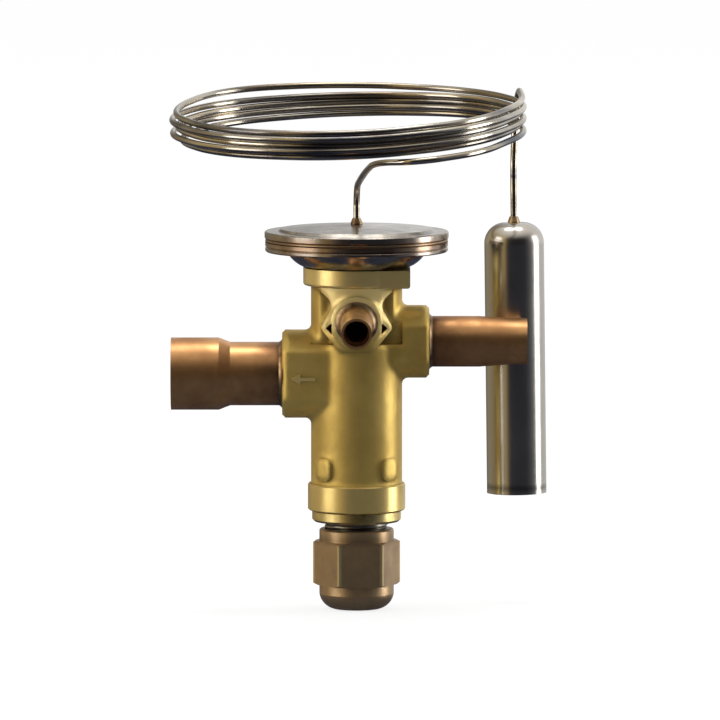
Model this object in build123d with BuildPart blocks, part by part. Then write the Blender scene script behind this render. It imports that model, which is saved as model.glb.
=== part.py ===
"""Thermostatic expansion valve with external equalizer, coiled capillary and sensing bulb.

All lengths are in millimetres.  The frame's origin is the centre of the outlet socket's
mouth, +X runs from the outlet to the inlet and +Z up the spindle towards the power head.
Heights (z) are counted from the outlet axis, and reaches from the spindle axis.
"""

import os
from math import cos, pi, radians, sin, tan

from build123d import *

# ---------------------------------------------------------------- clearances and small breaks
RUNNING_GAP = 0.05          # radial play of everything that turns or slides
THREAD_GAP = 0.05           # radial play between plain thread cylinders
BRAZE_GAP = 0.05            # capillary gap that the braze alloy fills
EDGE_BREAK = 0.3            # chamfer on turned edges
BRAZE_FILLET = 0.8          # leg of the braze fillet round a tube

# ---------------------------------------------------------------- forged body
BARREL_R = 11.4
BARREL_BOTTOM_Z = -27.4
LOWER_COLLAR_R = 12.2
LOWER_COLLAR_HEIGHT = 6.7
TOP_COLLAR_R = 13.35
TOP_COLLAR_Z = 22.3
TOP_COLLAR_HEIGHT = 4.4
TOP_COLLAR_ROUND = 0.7
SPIGOT_R = 10.0             # spigot that centres the power head
SPIGOT_HEIGHT = 1.5
PAD_WIDTH = 5.2             # raised oval pads low on the barrel
PAD_HEIGHT = 5.6
PAD_ROUND = 1.8
PAD_PROUD = 0.6
PAD_Z = -23.4
PAD_ANGLE = 45.0

# outlet port, towards -X
OUTLET_REACH = 46.4         # spindle axis to the outlet socket's mouth
OUTLET_BOSS_R = 11.05
OUTLET_BOSS_REACH = 18.6
OUTLET_BOSS_HALF_DEPTH = 9.2
OUTLET_TUBE_OD = 15.9
OUTLET_TUBE_WALL = 1.0
OUTLET_SOCKET_ID = 15.96    # takes a 5/8 inch tube
OUTLET_SOCKET_DEPTH = 12.0
OUTLET_SOCKET_WALL = 1.07
OUTLET_TAPER = 2.8
OUTLET_SEAT_DEPTH = 7.6     # how far the tube enters the boss
OUTLET_PORT_R = 4.5

# inlet port, towards +X
INLET_Z = 8.1
INLET_REACH = 42.6
INLET_BOSS_R = 9.1
INLET_BOSS_REACH = 18.15
INLET_BOSS_HALF_DEPTH = 8.0
INLET_TUBE_OD = 12.7
INLET_TUBE_WALL = 1.0
INLET_END_OD = 11.5
INLET_SOCKET_ID = 9.6       # takes a 3/8 inch tube
INLET_SOCKET_DEPTH = 8.5
INLET_TAPER = 12.0
INLET_SEAT_DEPTH = 7.9
INLET_STOP = 0.6            # ledge that stops the pipe in the socket
INLET_PORT_R = 2.5

# equalizer port, towards -Y
EQUALIZER_Z = 13.9
EQUALIZER_REACH = 44.0
EQUALIZER_BOSS_R = 6.5
EQUALIZER_BOSS_REACH = 14.0
EQUALIZER_TUBE_OD = 8.0
EQUALIZER_TUBE_WALL = 1.2
EQUALIZER_END_OD = 7.6
EQUALIZER_SOCKET_ID = 6.4   # takes a 1/4 inch tube
EQUALIZER_SOCKET_DEPTH = 8.0
EQUALIZER_SEAT_DEPTH = 4.4
EQUALIZER_COLLAR_R = 5.3
EQUALIZER_COLLAR_LENGTH = 1.0
EQUALIZER_PORT_R = 2.2
EQUALIZER_DRILL_R = 1.0
EQUALIZER_DRILL_Y = -6.6

# hourglass web round the equalizer boss
WEB_R = 13.0                # the web's face is turned on this radius
WEB_TOP_HALF = 10.0
WEB_WAIST_HALF = 5.6
WEB_WAIST_RISE = 4.6        # waist above the equalizer axis
WEB_WING_HALF = 9.0
WEB_WING_DROP = 1.6         # wing tips below the equalizer axis
WEB_FOOT_HALF = 4.4
WEB_FOOT_DROP = 7.2
POCKET_Y = -6.9             # flat floor of the pockets beside the web
WEB_WAIST_ROUND = 3.0
WEB_WING_ROUND = 0.8
BOSS_FILLET = 1.5           # fillets where the forging's bosses meet its barrel
POCKET_FOOT_Z = 8.0
BOSS_EDGE = 0.8
BOSS_ROUND = 1.2            # lengthwise edges between a boss's flats and its round
WING_HOLLOW_DEPTH = 2.2     # small hollow between each wing and the boss
WING_HOLLOW_WIDTH = 1.5
WING_HOLLOW_HEIGHT = 3.0

# ---------------------------------------------------------------- bores on the spindle axis
GLAND_THREAD_R = 8.5
CHAMBER_R = 7.8
CHAMBER_TOP_Z = 3.5
SEAT_INSERT_R = 4.5
SEAT_INSERT_HEIGHT = 2.0
ORIFICE_R = 2.0
INLET_CHAMBER_R = 3.75
INLET_CHAMBER_TOP_Z = 10.6
PIN_R = 1.5
SEAL_POCKET_R = 3.0
SEAL_POCKET_Z = 17.0
SEAL_POCKET_HEIGHT = 3.0
GUIDE_R = 4.0
KEYWAY_WIDTH = 2.2
KEYWAY_TOP_Z = -4.0

# ---------------------------------------------------------------- gland, spindle and cap
GLAND_FLANGE_R = 11.15
GLAND_FLANGE_HEIGHT = 2.9
GLAND_SHANK_LENGTH = 10.1
GLAND_NECK_R = 8.0
GLAND_NECK_LENGTH = 14.0
GLAND_SEAL_SIZE = 0.9
GLAND_SEAL_OFFSET = 0.9
PACKING_R = 5.4
PACKING_HEIGHT = 3.0
PACKING_NUT_HEIGHT = 4.0
PACKING_SLOT = 1.2
SPINDLE_R = 3.0
SPINDLE_SHOULDER_R = 4.5
SPINDLE_SHOULDER_HEIGHT = 2.0
SPINDLE_THREAD_R = 2.5
SPINDLE_THREAD_LENGTH = 12.0
SPINDLE_SQUARE = 4.0
SPINDLE_SQUARE_LENGTH = 3.0
SPINDLE_END_DROP = 4.0      # spindle end below the gland's neck
CAP_CLEAR_OF_FLANGE = 1.9
CAP_ROUND_R = 9.33          # turned collars above and below the hexagon
CAP_COLLAR_HEIGHT = 2.9
CAP_HEX_AF = 19.0
CAP_HEX_HEIGHT = 11.1
CAP_HEX_TURN = 36.2         # one corner from -Y towards +X, degrees
CAP_HEX_CHAMFER = 0.9
CAP_LOWER_HEIGHT = 2.3
CAP_NOSE_HEIGHT = 3.8
CAP_NOSE_R = 5.85
CAP_NOSE_BULGE = 0.7
CAP_RECESS_R = 4.6
CAP_RECESS_DEPTH = 3.8
CAP_GASKET_HEIGHT = 1.2

# ---------------------------------------------------------------- valve mechanism
CONE_BASE_R = 2.6
CONE_TIP_R = 1.6
CONE_HEIGHT = 2.4
CONE_SHUT_GAP = 0.05
CONE_STEM_R = 2.2
SPRING_CAP_R = 6.9
SPRING_CAP_HEIGHT = 1.6
SPRING_CAP_Z = -1.5
SPRING_WIRE_R = 0.7
SPRING_MEAN_R = 5.9
SPRING_TURNS = 4.5
SPRING_SEAT_R = 7.3
SPRING_SEAT_HEIGHT = 3.4
SPRING_SEAT_Z = -16.0
SPRING_SEAT_HUB_R = 4.6
SPRING_SEAT_HUB_HEIGHT = 1.6
THRUST_PLATE_R = 12.0
THRUST_PLATE_HEIGHT = 2.0
THRUST_HUB_R = 5.0
THRUST_HUB_HEIGHT = 1.9
THRUST_HUB_SOCKET = 3.0
STRAINER_R = 4.6
STRAINER_LENGTH = 11.0
STRAINER_WALL = 0.3
STRAINER_HOLE_R = 0.7
STRAINER_HOLES = 8
STRAINER_ROWS = 2

# ---------------------------------------------------------------- power head
HEAD_WALL = 1.2
BOWL_FOOT_R = 12.5
BOWL_RISE_R = 13.5
BOWL_TOP_R = 17.5
BOWL_HEIGHT = 4.0
RIM_R = 23.0
LOWER_RIM_R = 22.85
LOWER_RIM_HEIGHT = 2.4
LOWER_RIM_GROOVE = 0.3
DIAPHRAGM_THICKNESS = 0.2
DIAPHRAGM_R = 22.0
DIAPHRAGM_WAVES = 3
DIAPHRAGM_WAVE_HEIGHT = 0.5
WELD_HEIGHT = 0.8
WELD_BULGE = 0.25
UPPER_RIM_HEIGHT = 1.9
STEP_R = 19.6
STEP_HEIGHT = 0.6
CROWN_RISE = 1.1
HEAD_CAVITY_R = 18.6

# ---------------------------------------------------------------- capillary and bulb
CAPILLARY_R = 0.8
FERRULE_BASE_R = 1.5
FERRULE_TOP_R = 1.05
FERRULE_HEIGHT = 1.5
COIL_R = 42.9               # mean radius of the coil
COIL_CENTRE_X = -2.3        # coil centre from the spindle axis
COIL_Z = 63.15              # middle of the coil
COIL_PITCH = 1.41           # rise of each turn where the turns lie tight
COIL_FAN = 0.5              # extra rise of each turn where they fan out, back left
COIL_NEST = 0.68            # neighbouring turns nest by this much either way
COIL_CROSSING = 150.0       # and change over at this angle, degrees from +X
COIL_TILT_FRONT = 3.15      # front sinks and back lifts by this much
COIL_TILT_SIDE = 1.5        # right lifts and left sinks by this much
COIL_SADDLE = 0.4           # both ends lift, and front and back sink, by this much
COIL_TURNS = 5
COIL_CORNERS = 8            # corners of the route in each turn
COIL_LEFT_REACH = (-2.2, 0.0, -1.0, 0.2, -0.5)   # how far each turn swings out at the left
COIL_LOOSE_LIFT = 4.0       # last turn stands off the others at the back
COIL_FIRST_DROP = 0.5       # the head lead joins this much below the lowest turn
COIL_START = -45.0          # first corner of the coil, degrees from +X
FILLET_SHARE = 0.45         # share of a run that each tangent arc may use
LEAD_RISE = 9.3             # straight stub of capillary above the head
LEAD_JOINS_AT = -68.0       # where the head lead joins the lowest turn, degrees
HEAD_LEAD = ((0.8, -11.0, 0.26), (2.4, -24.0, 0.62), (4.5, -35.5, 0.92))   # x, y, share of the climb
BULB_LEAD_OUT = 0.9         # the bulb lead starts this much outside the bulb's top
BULB_LEAD_BACK = 3.6        # and this much behind it
BULB_LEAD_LIFT = 2.4        # it bends down this much above the last turn's end
COIL_EXIT_SHARE = 0.88      # the last turn leaves the coil this far along its last side
BULB_R = 7.5
BULB_LENGTH = 68.2
BULB_DOME = 5.2
BULB_WALL = 0.8
BULB_INSET = 1.1            # top of the bulb inside the coil's right end
BULB_Y = 14.8
BULB_DROP = 26.4            # top of the bulb below the coil's middle
BULB_LEAN = 0.7             # degrees from plumb, foot outwards
BULB_END_THICKNESS = 1.5
BULB_FOOT_ROUND = 0.6

# ---------------------------------------------------------------- heights worked out from the above
body_foot_z = BARREL_BOTTOM_Z - LOWER_COLLAR_HEIGHT
body_top_z = TOP_COLLAR_Z + TOP_COLLAR_HEIGHT
spigot_top_z = body_top_z + SPIGOT_HEIGHT
flange_z = body_foot_z - GLAND_FLANGE_HEIGHT
neck_end_z = flange_z - GLAND_NECK_LENGTH
shank_top_z = body_foot_z + GLAND_SHANK_LENGTH
gasket_z = neck_end_z - CAP_GASKET_HEIGHT
cap_top_z = flange_z - CAP_CLEAR_OF_FLANGE
hex_top_z = cap_top_z - CAP_COLLAR_HEIGHT
hex_foot_z = hex_top_z - CAP_HEX_HEIGHT
nose_top_z = hex_foot_z - CAP_LOWER_HEIGHT
cap_foot_z = nose_top_z - CAP_NOSE_HEIGHT
seat_insert_top_z = CHAMBER_TOP_Z + SEAT_INSERT_HEIGHT
bowl_top_z = body_top_z + BOWL_HEIGHT
diaphragm_z = bowl_top_z + LOWER_RIM_HEIGHT
diaphragm_top_z = diaphragm_z + DIAPHRAGM_THICKNESS
upper_rim_z = diaphragm_z + WELD_HEIGHT
rim_top_z = upper_rim_z + UPPER_RIM_HEIGHT
crown_z = rim_top_z + STEP_HEIGHT + CROWN_RISE
thrust_top_z = diaphragm_z
thrust_foot_z = thrust_top_z - THRUST_PLATE_HEIGHT
thrust_hub_z = thrust_foot_z - THRUST_HUB_HEIGHT
cone_top_z = CHAMBER_TOP_Z + CONE_HEIGHT / 2
cone_foot_z = cone_top_z - CONE_HEIGHT
spring_cap_top_z = SPRING_CAP_Z + SPRING_CAP_HEIGHT
spring_seat_top_z = SPRING_SEAT_Z + SPRING_SEAT_HEIGHT
pin_bore_r = PIN_R + RUNNING_GAP
spindle_bore_r = SPINDLE_R + RUNNING_GAP

bulb_x = COIL_CENTRE_X + COIL_R - BULB_INSET
bulb_top_z = COIL_Z - BULB_DROP

# ---------------------------------------------------------------- frames
# Every piece is built about the spindle, and moved once it is finished.
spindle_axis = Axis.Z
spindle_plane = Plane(origin=(0, 0, 0), x_dir=(1, 0, 0), z_dir=(0, -1, 0))


def port_frame(height, direction):
    """Section plane and axis of a port: local x is its reach, local y its radius."""
    origin = Vector(0, 0, height)
    outward = Vector(*direction)
    normal = outward.cross(Vector(0, 0, 1))
    return Plane(origin=origin, x_dir=outward, z_dir=normal), Axis(origin, outward)


outlet_plane, outlet_axis = port_frame(0, (-1, 0, 0))
inlet_plane, inlet_axis = port_frame(INLET_Z, (1, 0, 0))
equalizer_plane, equalizer_axis = port_frame(EQUALIZER_Z, (0, -1, 0))


def section(plane, *outline):
    """Closed straight-sided section from its corners."""
    with BuildSketch(plane) as drawn:
        with BuildLine():
            Polyline(*outline, close=True)
        make_face()
    return drawn.sketch


def spindle_ring(inner_r, outer_r, low_z, high_z):
    """Section of a plain ring on the spindle axis."""
    return section(spindle_plane, (inner_r, low_z), (outer_r, low_z), (outer_r, high_z), (inner_r, high_z))


def bore(plane, axis, radius, near, far):
    """Cut a plain bore on a port's axis, from reach near to reach far."""
    revolve(section(plane, (near, 0), (far, 0), (far, radius), (near, radius)), axis=axis, mode=Mode.SUBTRACT)


def spindle_bore(radius, low_z, high_z):
    """Cut a plain bore on the spindle axis."""
    revolve(spindle_ring(0, radius, low_z, high_z), axis=spindle_axis, mode=Mode.SUBTRACT)


def finish(builder, name):
    """Move a finished piece so that the outlet's mouth is the origin, label it and write it out."""
    placed = builder.part.moved(Location((OUTLET_REACH, 0, 0)))
    placed.label = name
    export_step(placed, f"parts/{name}.step")


def arc_radii(points):
    """Largest tangent arc that each corner of a route has room for."""
    radii = []
    for before, corner, after in zip(points, points[1:], points[2:]):
        run_in = Vector(*corner) - Vector(*before)
        run_out = Vector(*after) - Vector(*corner)
        half_turn = radians(run_in.get_angle(run_out)) / 2
        radii.append(FILLET_SHARE * min(run_in.length, run_out.length) / tan(half_turn))
    return radii


def bent_wire(points, radius):
    """Round wire along straight runs joined by tangent arcs, in the open part builder."""
    with BuildLine(mode=Mode.PRIVATE) as route:
        FilletPolyline(*points, radius=arc_radii(points))
    path = route.wire()
    with BuildSketch(Plane(origin=path @ 0, z_dir=path % 0), mode=Mode.PRIVATE) as wire_section:
        Circle(radius)
    sweep(wire_section.sketch, path=path)
    return path


os.makedirs("parts", exist_ok=True)

# ================================================================ forged body
with BuildPart() as valve_body:
    revolve(spindle_ring(0, BARREL_R, BARREL_BOTTOM_Z, TOP_COLLAR_Z), axis=spindle_axis)

    # outlet and inlet bosses: round, with flats at the front and back
    for plane, axis, radius, reach, half_depth in (
        (outlet_plane, outlet_axis, OUTLET_BOSS_R, OUTLET_BOSS_REACH, OUTLET_BOSS_HALF_DEPTH),
        (inlet_plane, inlet_axis, INLET_BOSS_R, INLET_BOSS_REACH, INLET_BOSS_HALF_DEPTH),
    ):
        with BuildPart(mode=Mode.PRIVATE) as boss:
            with BuildSketch(Plane(origin=plane.origin, x_dir=(0, 1, 0), z_dir=axis.direction)):
                Circle(radius)
                flats = Rectangle(2 * half_depth, 2 * radius, mode=Mode.INTERSECT)
                fillet(flats.vertices(), BOSS_ROUND)
            extrude(amount=reach)
            chamfer(boss.faces().sort_by(axis)[-1].edges(), BOSS_EDGE)
        add(boss.part)
        # forged fillet where the boss meets the barrel
        side = axis.direction.X
        junction = [
            edge for edge in valve_body.edges()
            if abs(Vector((edge @ 0.5).X, (edge @ 0.5).Y).length - BARREL_R) < EDGE_BREAK
            and (edge @ 0.5).X * side > 0
            and abs((edge @ 0.5).Z - plane.origin.Z) < radius + EDGE_BREAK
        ]
        fillet(junction, BOSS_FILLET)

    # flat pockets at the front of the neck, on both sides of the web
    with BuildSketch(spindle_plane.offset(-POCKET_Y)):
        with Locations((0, (POCKET_FOOT_Z + TOP_COLLAR_Z) / 2)):
            Rectangle(2 * BARREL_R, TOP_COLLAR_Z - POCKET_FOOT_Z)
    extrude(amount=BARREL_R, mode=Mode.SUBTRACT)

    # hourglass web, its face turned on WEB_R
    with BuildPart(mode=Mode.PRIVATE) as web:
        with BuildSketch(spindle_plane):
            with BuildLine():
                Polyline(
                    (WEB_TOP_HALF, TOP_COLLAR_Z),
                    (WEB_WAIST_HALF, EQUALIZER_Z + WEB_WAIST_RISE),
                    (WEB_WING_HALF, EQUALIZER_Z - WEB_WING_DROP),
                    (WEB_FOOT_HALF, EQUALIZER_Z - WEB_FOOT_DROP),
                    (-WEB_FOOT_HALF, EQUALIZER_Z - WEB_FOOT_DROP),
                    (-WEB_WING_HALF, EQUALIZER_Z - WEB_WING_DROP),
                    (-WEB_WAIST_HALF, EQUALIZER_Z + WEB_WAIST_RISE),
                    (-WEB_TOP_HALF, TOP_COLLAR_Z),
                    close=True,
                )
            make_face()
        extrude(amount=TOP_COLLAR_R)
        # round the waists wide and the wing tips tight
        waists = [edge for edge in web.edges().filter_by(Axis.Y)
                  if abs(edge.center().Z - EQUALIZER_Z - WEB_WAIST_RISE) < EDGE_BREAK]
        fillet(waists, WEB_WAIST_ROUND)
        wing_tips = [edge for edge in web.edges().filter_by(Axis.Y)
                     if abs(abs(edge.center().X) - WEB_WING_HALF) < EDGE_BREAK]
        fillet(wing_tips, WEB_WING_ROUND)
        with BuildSketch(Plane.XY.offset(EQUALIZER_Z - WEB_FOOT_DROP)):
            Circle(WEB_R)
        extrude(amount=TOP_COLLAR_Z, mode=Mode.INTERSECT)
    add(web.part)

    # equalizer boss
    revolve(section(equalizer_plane, (0, 0), (EQUALIZER_BOSS_REACH, 0),
                    (EQUALIZER_BOSS_REACH, EQUALIZER_BOSS_R - EDGE_BREAK),
                    (EQUALIZER_BOSS_REACH - EDGE_BREAK, EQUALIZER_BOSS_R), (0, EQUALIZER_BOSS_R)),
            axis=equalizer_axis)

    # small hollows between the web's wing tips and the boss
    for side in (-1, 1):
        inner = side * (EQUALIZER_BOSS_R - EDGE_BREAK)
        outer = inner + side * WING_HOLLOW_WIDTH
        low_z = EQUALIZER_Z - WEB_WING_DROP - WING_HOLLOW_HEIGHT / 2
        with BuildSketch(spindle_plane.offset(WEB_R - WING_HOLLOW_DEPTH - WEB_R / 4)):
            with BuildLine():
                Polyline((inner, low_z), (outer, low_z + WING_HOLLOW_HEIGHT / 2),
                         (inner, low_z + WING_HOLLOW_HEIGHT), close=True)
            make_face()
        extrude(amount=WEB_R, mode=Mode.SUBTRACT)

    # turned collars and the spigot for the power head
    lower_collar = section(
        spindle_plane, (0, body_foot_z), (LOWER_COLLAR_R - EDGE_BREAK, body_foot_z),
        (LOWER_COLLAR_R, body_foot_z + EDGE_BREAK), (LOWER_COLLAR_R, BARREL_BOTTOM_Z - EDGE_BREAK),
        (LOWER_COLLAR_R - EDGE_BREAK, BARREL_BOTTOM_Z), (0, BARREL_BOTTOM_Z))
    revolve(lower_collar, axis=spindle_axis)
    with BuildSketch(spindle_plane) as top_collar:
        with Locations((TOP_COLLAR_R / 2, TOP_COLLAR_Z + TOP_COLLAR_HEIGHT / 2)):
            Rectangle(TOP_COLLAR_R, TOP_COLLAR_HEIGHT)
        fillet(top_collar.vertices().group_by(Axis.X)[-1].sort_by(Axis.Y)[0], TOP_COLLAR_ROUND)
    revolve(top_collar.sketch, axis=spindle_axis)
    revolve(spindle_ring(0, SPIGOT_R, body_top_z, spigot_top_z), axis=spindle_axis)

    # raised oval pads low on the barrel
    for turn in (PAD_ANGLE, -PAD_ANGLE, 180 - PAD_ANGLE, 180 + PAD_ANGLE):
        outward = Vector(sin(radians(turn)), -cos(radians(turn)), 0)
        with BuildSketch(Plane(origin=(0, 0, PAD_Z), x_dir=outward.cross(Vector(0, 0, 1)), z_dir=outward)):
            RectangleRounded(PAD_WIDTH, PAD_HEIGHT, PAD_ROUND)
        extrude(amount=BARREL_R + PAD_PROUD)

    # bores on the spindle axis
    spindle_bore(GLAND_THREAD_R, body_foot_z, shank_top_z + EDGE_BREAK)
    spindle_bore(CHAMBER_R, body_foot_z, CHAMBER_TOP_Z)
    spindle_bore(SEAT_INSERT_R, CHAMBER_TOP_Z, seat_insert_top_z)
    spindle_bore(INLET_CHAMBER_R, seat_insert_top_z, INLET_CHAMBER_TOP_Z)
    spindle_bore(pin_bore_r, INLET_CHAMBER_TOP_Z, SEAL_POCKET_Z)
    spindle_bore(SEAL_POCKET_R, SEAL_POCKET_Z, SEAL_POCKET_Z + SEAL_POCKET_HEIGHT)
    spindle_bore(GUIDE_R, SEAL_POCKET_Z + SEAL_POCKET_HEIGHT, spigot_top_z)

    # two keyways that keep the spring seat from turning
    with BuildSketch(Plane.XY.offset(body_foot_z)):
        Rectangle(KEYWAY_WIDTH, 2 * GLAND_THREAD_R)
    extrude(amount=KEYWAY_TOP_Z - body_foot_z, mode=Mode.SUBTRACT)

    # ports: tube socket in the boss, then a drilled way to its chamber
    bore(outlet_plane, outlet_axis, OUTLET_TUBE_OD / 2 + BRAZE_GAP,
         OUTLET_BOSS_REACH - OUTLET_SEAT_DEPTH, OUTLET_BOSS_REACH)
    bore(outlet_plane, outlet_axis, OUTLET_PORT_R, CHAMBER_R - EDGE_BREAK, OUTLET_BOSS_REACH)
    bore(inlet_plane, inlet_axis, INLET_TUBE_OD / 2 + BRAZE_GAP,
         INLET_BOSS_REACH - INLET_SEAT_DEPTH, INLET_BOSS_REACH)
    bore(inlet_plane, inlet_axis, INLET_PORT_R, 0, INLET_BOSS_REACH)
    bore(equalizer_plane, equalizer_axis, EQUALIZER_TUBE_OD / 2 + BRAZE_GAP,
         EQUALIZER_BOSS_REACH - EQUALIZER_SEAT_DEPTH, EQUALIZER_BOSS_REACH)
    bore(equalizer_plane, equalizer_axis, EQUALIZER_PORT_R, -EQUALIZER_DRILL_Y, EQUALIZER_BOSS_REACH)

    # drilling from the equalizer port up to the underside of the diaphragm
    with BuildSketch(Plane.XY.offset(EQUALIZER_Z)):
        with Locations((0, EQUALIZER_DRILL_Y)):
            Circle(EQUALIZER_DRILL_R)
    extrude(amount=spigot_top_z - EQUALIZER_Z, mode=Mode.SUBTRACT)
finish(valve_body, "valve_body")

# ================================================================ tubes and their brazes
with BuildPart() as outlet_tube:
    tube_r = OUTLET_TUBE_OD / 2
    swage_r = OUTLET_SOCKET_ID / 2 + OUTLET_SOCKET_WALL
    socket_foot = OUTLET_REACH - OUTLET_SOCKET_DEPTH
    revolve(section(
        outlet_plane,
        (OUTLET_BOSS_REACH - OUTLET_SEAT_DEPTH, tube_r - OUTLET_TUBE_WALL),
        (socket_foot - OUTLET_TAPER, tube_r - OUTLET_TUBE_WALL),
        (socket_foot, OUTLET_SOCKET_ID / 2), (OUTLET_REACH, OUTLET_SOCKET_ID / 2),
        (OUTLET_REACH, swage_r), (socket_foot, swage_r), (socket_foot - OUTLET_TAPER, tube_r),
        (OUTLET_BOSS_REACH - OUTLET_SEAT_DEPTH, tube_r)), axis=outlet_axis)
finish(outlet_tube, "outlet_tube")

with BuildPart() as inlet_tube:
    tube_r = INLET_TUBE_OD / 2
    end_r = INLET_END_OD / 2
    socket_foot = INLET_REACH - INLET_SOCKET_DEPTH
    seat_reach = INLET_BOSS_REACH - INLET_SEAT_DEPTH
    revolve(section(
        inlet_plane,
        (seat_reach, tube_r - INLET_TUBE_WALL), (socket_foot - INLET_TAPER / 2, tube_r - INLET_TUBE_WALL),
        (socket_foot, INLET_SOCKET_ID / 2 - INLET_STOP), (socket_foot, INLET_SOCKET_ID / 2),
        (INLET_REACH, INLET_SOCKET_ID / 2), (INLET_REACH, end_r),
        (INLET_REACH - INLET_TAPER / 3, end_r), (INLET_REACH - INLET_TAPER, tube_r),
        (seat_reach, tube_r)), axis=inlet_axis)
finish(inlet_tube, "inlet_tube")

with BuildPart() as equalizer_tube:
    tube_r = EQUALIZER_TUBE_OD / 2
    socket_foot = EQUALIZER_REACH - EQUALIZER_SOCKET_DEPTH
    collar_foot = EQUALIZER_BOSS_REACH + EDGE_BREAK
    collar_top = collar_foot + EQUALIZER_COLLAR_LENGTH
    revolve(section(
        equalizer_plane,
        (EQUALIZER_BOSS_REACH - EQUALIZER_SEAT_DEPTH, tube_r - EQUALIZER_TUBE_WALL),
        (socket_foot, tube_r - EQUALIZER_TUBE_WALL), (socket_foot, EQUALIZER_SOCKET_ID / 2),
        (EQUALIZER_REACH, EQUALIZER_SOCKET_ID / 2), (EQUALIZER_REACH, EQUALIZER_END_OD / 2),
        (collar_top, tube_r), (EQUALIZER_BOSS_REACH - EQUALIZER_SEAT_DEPTH, tube_r)), axis=equalizer_axis)
finish(equalizer_tube, "equalizer_tube")

for name, plane, axis, tube_od, reach, leg in (
    ("outlet_braze", outlet_plane, outlet_axis, OUTLET_TUBE_OD, OUTLET_BOSS_REACH, BRAZE_FILLET),
    ("inlet_braze", inlet_plane, inlet_axis, INLET_TUBE_OD, INLET_BOSS_REACH, BRAZE_FILLET),
    ("equalizer_braze", equalizer_plane, equalizer_axis, EQUALIZER_TUBE_OD, EQUALIZER_BOSS_REACH,
     EQUALIZER_COLLAR_R - EQUALIZER_TUBE_OD / 2),
):
    with BuildPart() as braze:
        with BuildSketch(plane) as fillet_section:
            with BuildLine():
                foot = (reach, tube_od / 2 + leg)
                root = (reach, tube_od / 2)
                tip = (reach + leg, tube_od / 2)
                Line(foot, root)
                Line(root, tip)
                RadiusArc(tip, foot, 2 * leg)
            make_face()
        revolve(fillet_section.sketch, axis=axis)
    finish(braze, name)

# ================================================================ inlet strainer
with BuildPart() as inlet_strainer:
    mouth = INLET_BOSS_REACH - INLET_SEAT_DEPTH
    wire_end = mouth + STRAINER_LENGTH
    rim_r = INLET_TUBE_OD / 2 - INLET_TUBE_WALL - RUNNING_GAP
    revolve(section(
        inlet_plane, (mouth, STRAINER_R - STRAINER_WALL), (wire_end - STRAINER_WALL, STRAINER_R - STRAINER_WALL),
        (wire_end - STRAINER_WALL, 0), (wire_end, 0), (wire_end, STRAINER_R),
        (mouth + STRAINER_WALL, STRAINER_R), (mouth + STRAINER_WALL, rim_r), (mouth, rim_r)), axis=inlet_axis)
    for row in range(STRAINER_ROWS):
        row_plane = Plane(origin=(mouth + STRAINER_LENGTH * (row + 1) / (STRAINER_ROWS + 1), 0, INLET_Z),
                          x_dir=(0, 1, 0), z_dir=(1, 0, 0))
        for hole in range(STRAINER_HOLES // 2):
            turn = 180 * hole / (STRAINER_HOLES // 2)
            across = Vector(0, cos(radians(turn)), sin(radians(turn)))
            with BuildSketch(Plane(origin=row_plane.origin, x_dir=(1, 0, 0), z_dir=across)):
                Circle(STRAINER_HOLE_R)
            extrude(amount=STRAINER_R + STRAINER_WALL, both=True, mode=Mode.SUBTRACT)
finish(inlet_strainer, "inlet_strainer")

# ================================================================ seat, pin guide and pin seal
with BuildPart() as seat_insert:
    revolve(spindle_ring(ORIFICE_R, SEAT_INSERT_R, CHAMBER_TOP_Z, seat_insert_top_z), axis=spindle_axis)
finish(seat_insert, "seat_insert")

with BuildPart() as pin_seal:
    revolve(spindle_ring(pin_bore_r, SEAL_POCKET_R, SEAL_POCKET_Z, SEAL_POCKET_Z + SEAL_POCKET_HEIGHT),
            axis=spindle_axis)
finish(pin_seal, "pin_seal")

with BuildPart() as pin_guide:
    revolve(spindle_ring(pin_bore_r, GUIDE_R, SEAL_POCKET_Z + SEAL_POCKET_HEIGHT, spigot_top_z),
            axis=spindle_axis)
finish(pin_guide, "pin_guide")

# ================================================================ needle: thrust plate, pin, cone, spring cap
with BuildPart() as thrust_plate:
    hub_socket_z = thrust_hub_z + THRUST_HUB_SOCKET
    revolve(section(
        spindle_plane, (PIN_R, thrust_hub_z), (THRUST_HUB_R, thrust_hub_z), (THRUST_HUB_R, thrust_foot_z),
        (THRUST_PLATE_R, thrust_foot_z), (THRUST_PLATE_R, thrust_top_z), (0, thrust_top_z),
        (0, hub_socket_z), (PIN_R, hub_socket_z)), axis=spindle_axis)
finish(thrust_plate, "thrust_plate")

with BuildPart() as push_pin:
    revolve(spindle_ring(0, PIN_R, cone_top_z, thrust_hub_z + THRUST_HUB_SOCKET), axis=spindle_axis)
finish(push_pin, "push_pin")

with BuildPart() as valve_cone:
    # the cone's flank passes the seat's lower edge with CONE_SHUT_GAP to spare
    flank_r = ORIFICE_R - CONE_SHUT_GAP
    revolve(section(
        spindle_plane, (0, spring_cap_top_z), (CONE_STEM_R, spring_cap_top_z), (CONE_STEM_R, cone_foot_z),
        (2 * flank_r - CONE_TIP_R, cone_foot_z), (CONE_TIP_R, cone_top_z), (0, cone_top_z)), axis=spindle_axis)
finish(valve_cone, "valve_cone")

with BuildPart() as spring_cap:
    spigot_r = SPRING_MEAN_R - SPRING_WIRE_R - RUNNING_GAP
    revolve(section(
        spindle_plane, (0, SPRING_CAP_Z - SPRING_SEAT_HUB_HEIGHT), (spigot_r - EDGE_BREAK, SPRING_CAP_Z - SPRING_SEAT_HUB_HEIGHT),
        (spigot_r, SPRING_CAP_Z), (SPRING_CAP_R, SPRING_CAP_Z), (SPRING_CAP_R, spring_cap_top_z - EDGE_BREAK),
        (SPRING_CAP_R - EDGE_BREAK, spring_cap_top_z), (0, spring_cap_top_z)), axis=spindle_axis)
finish(spring_cap, "spring_cap")

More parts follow.
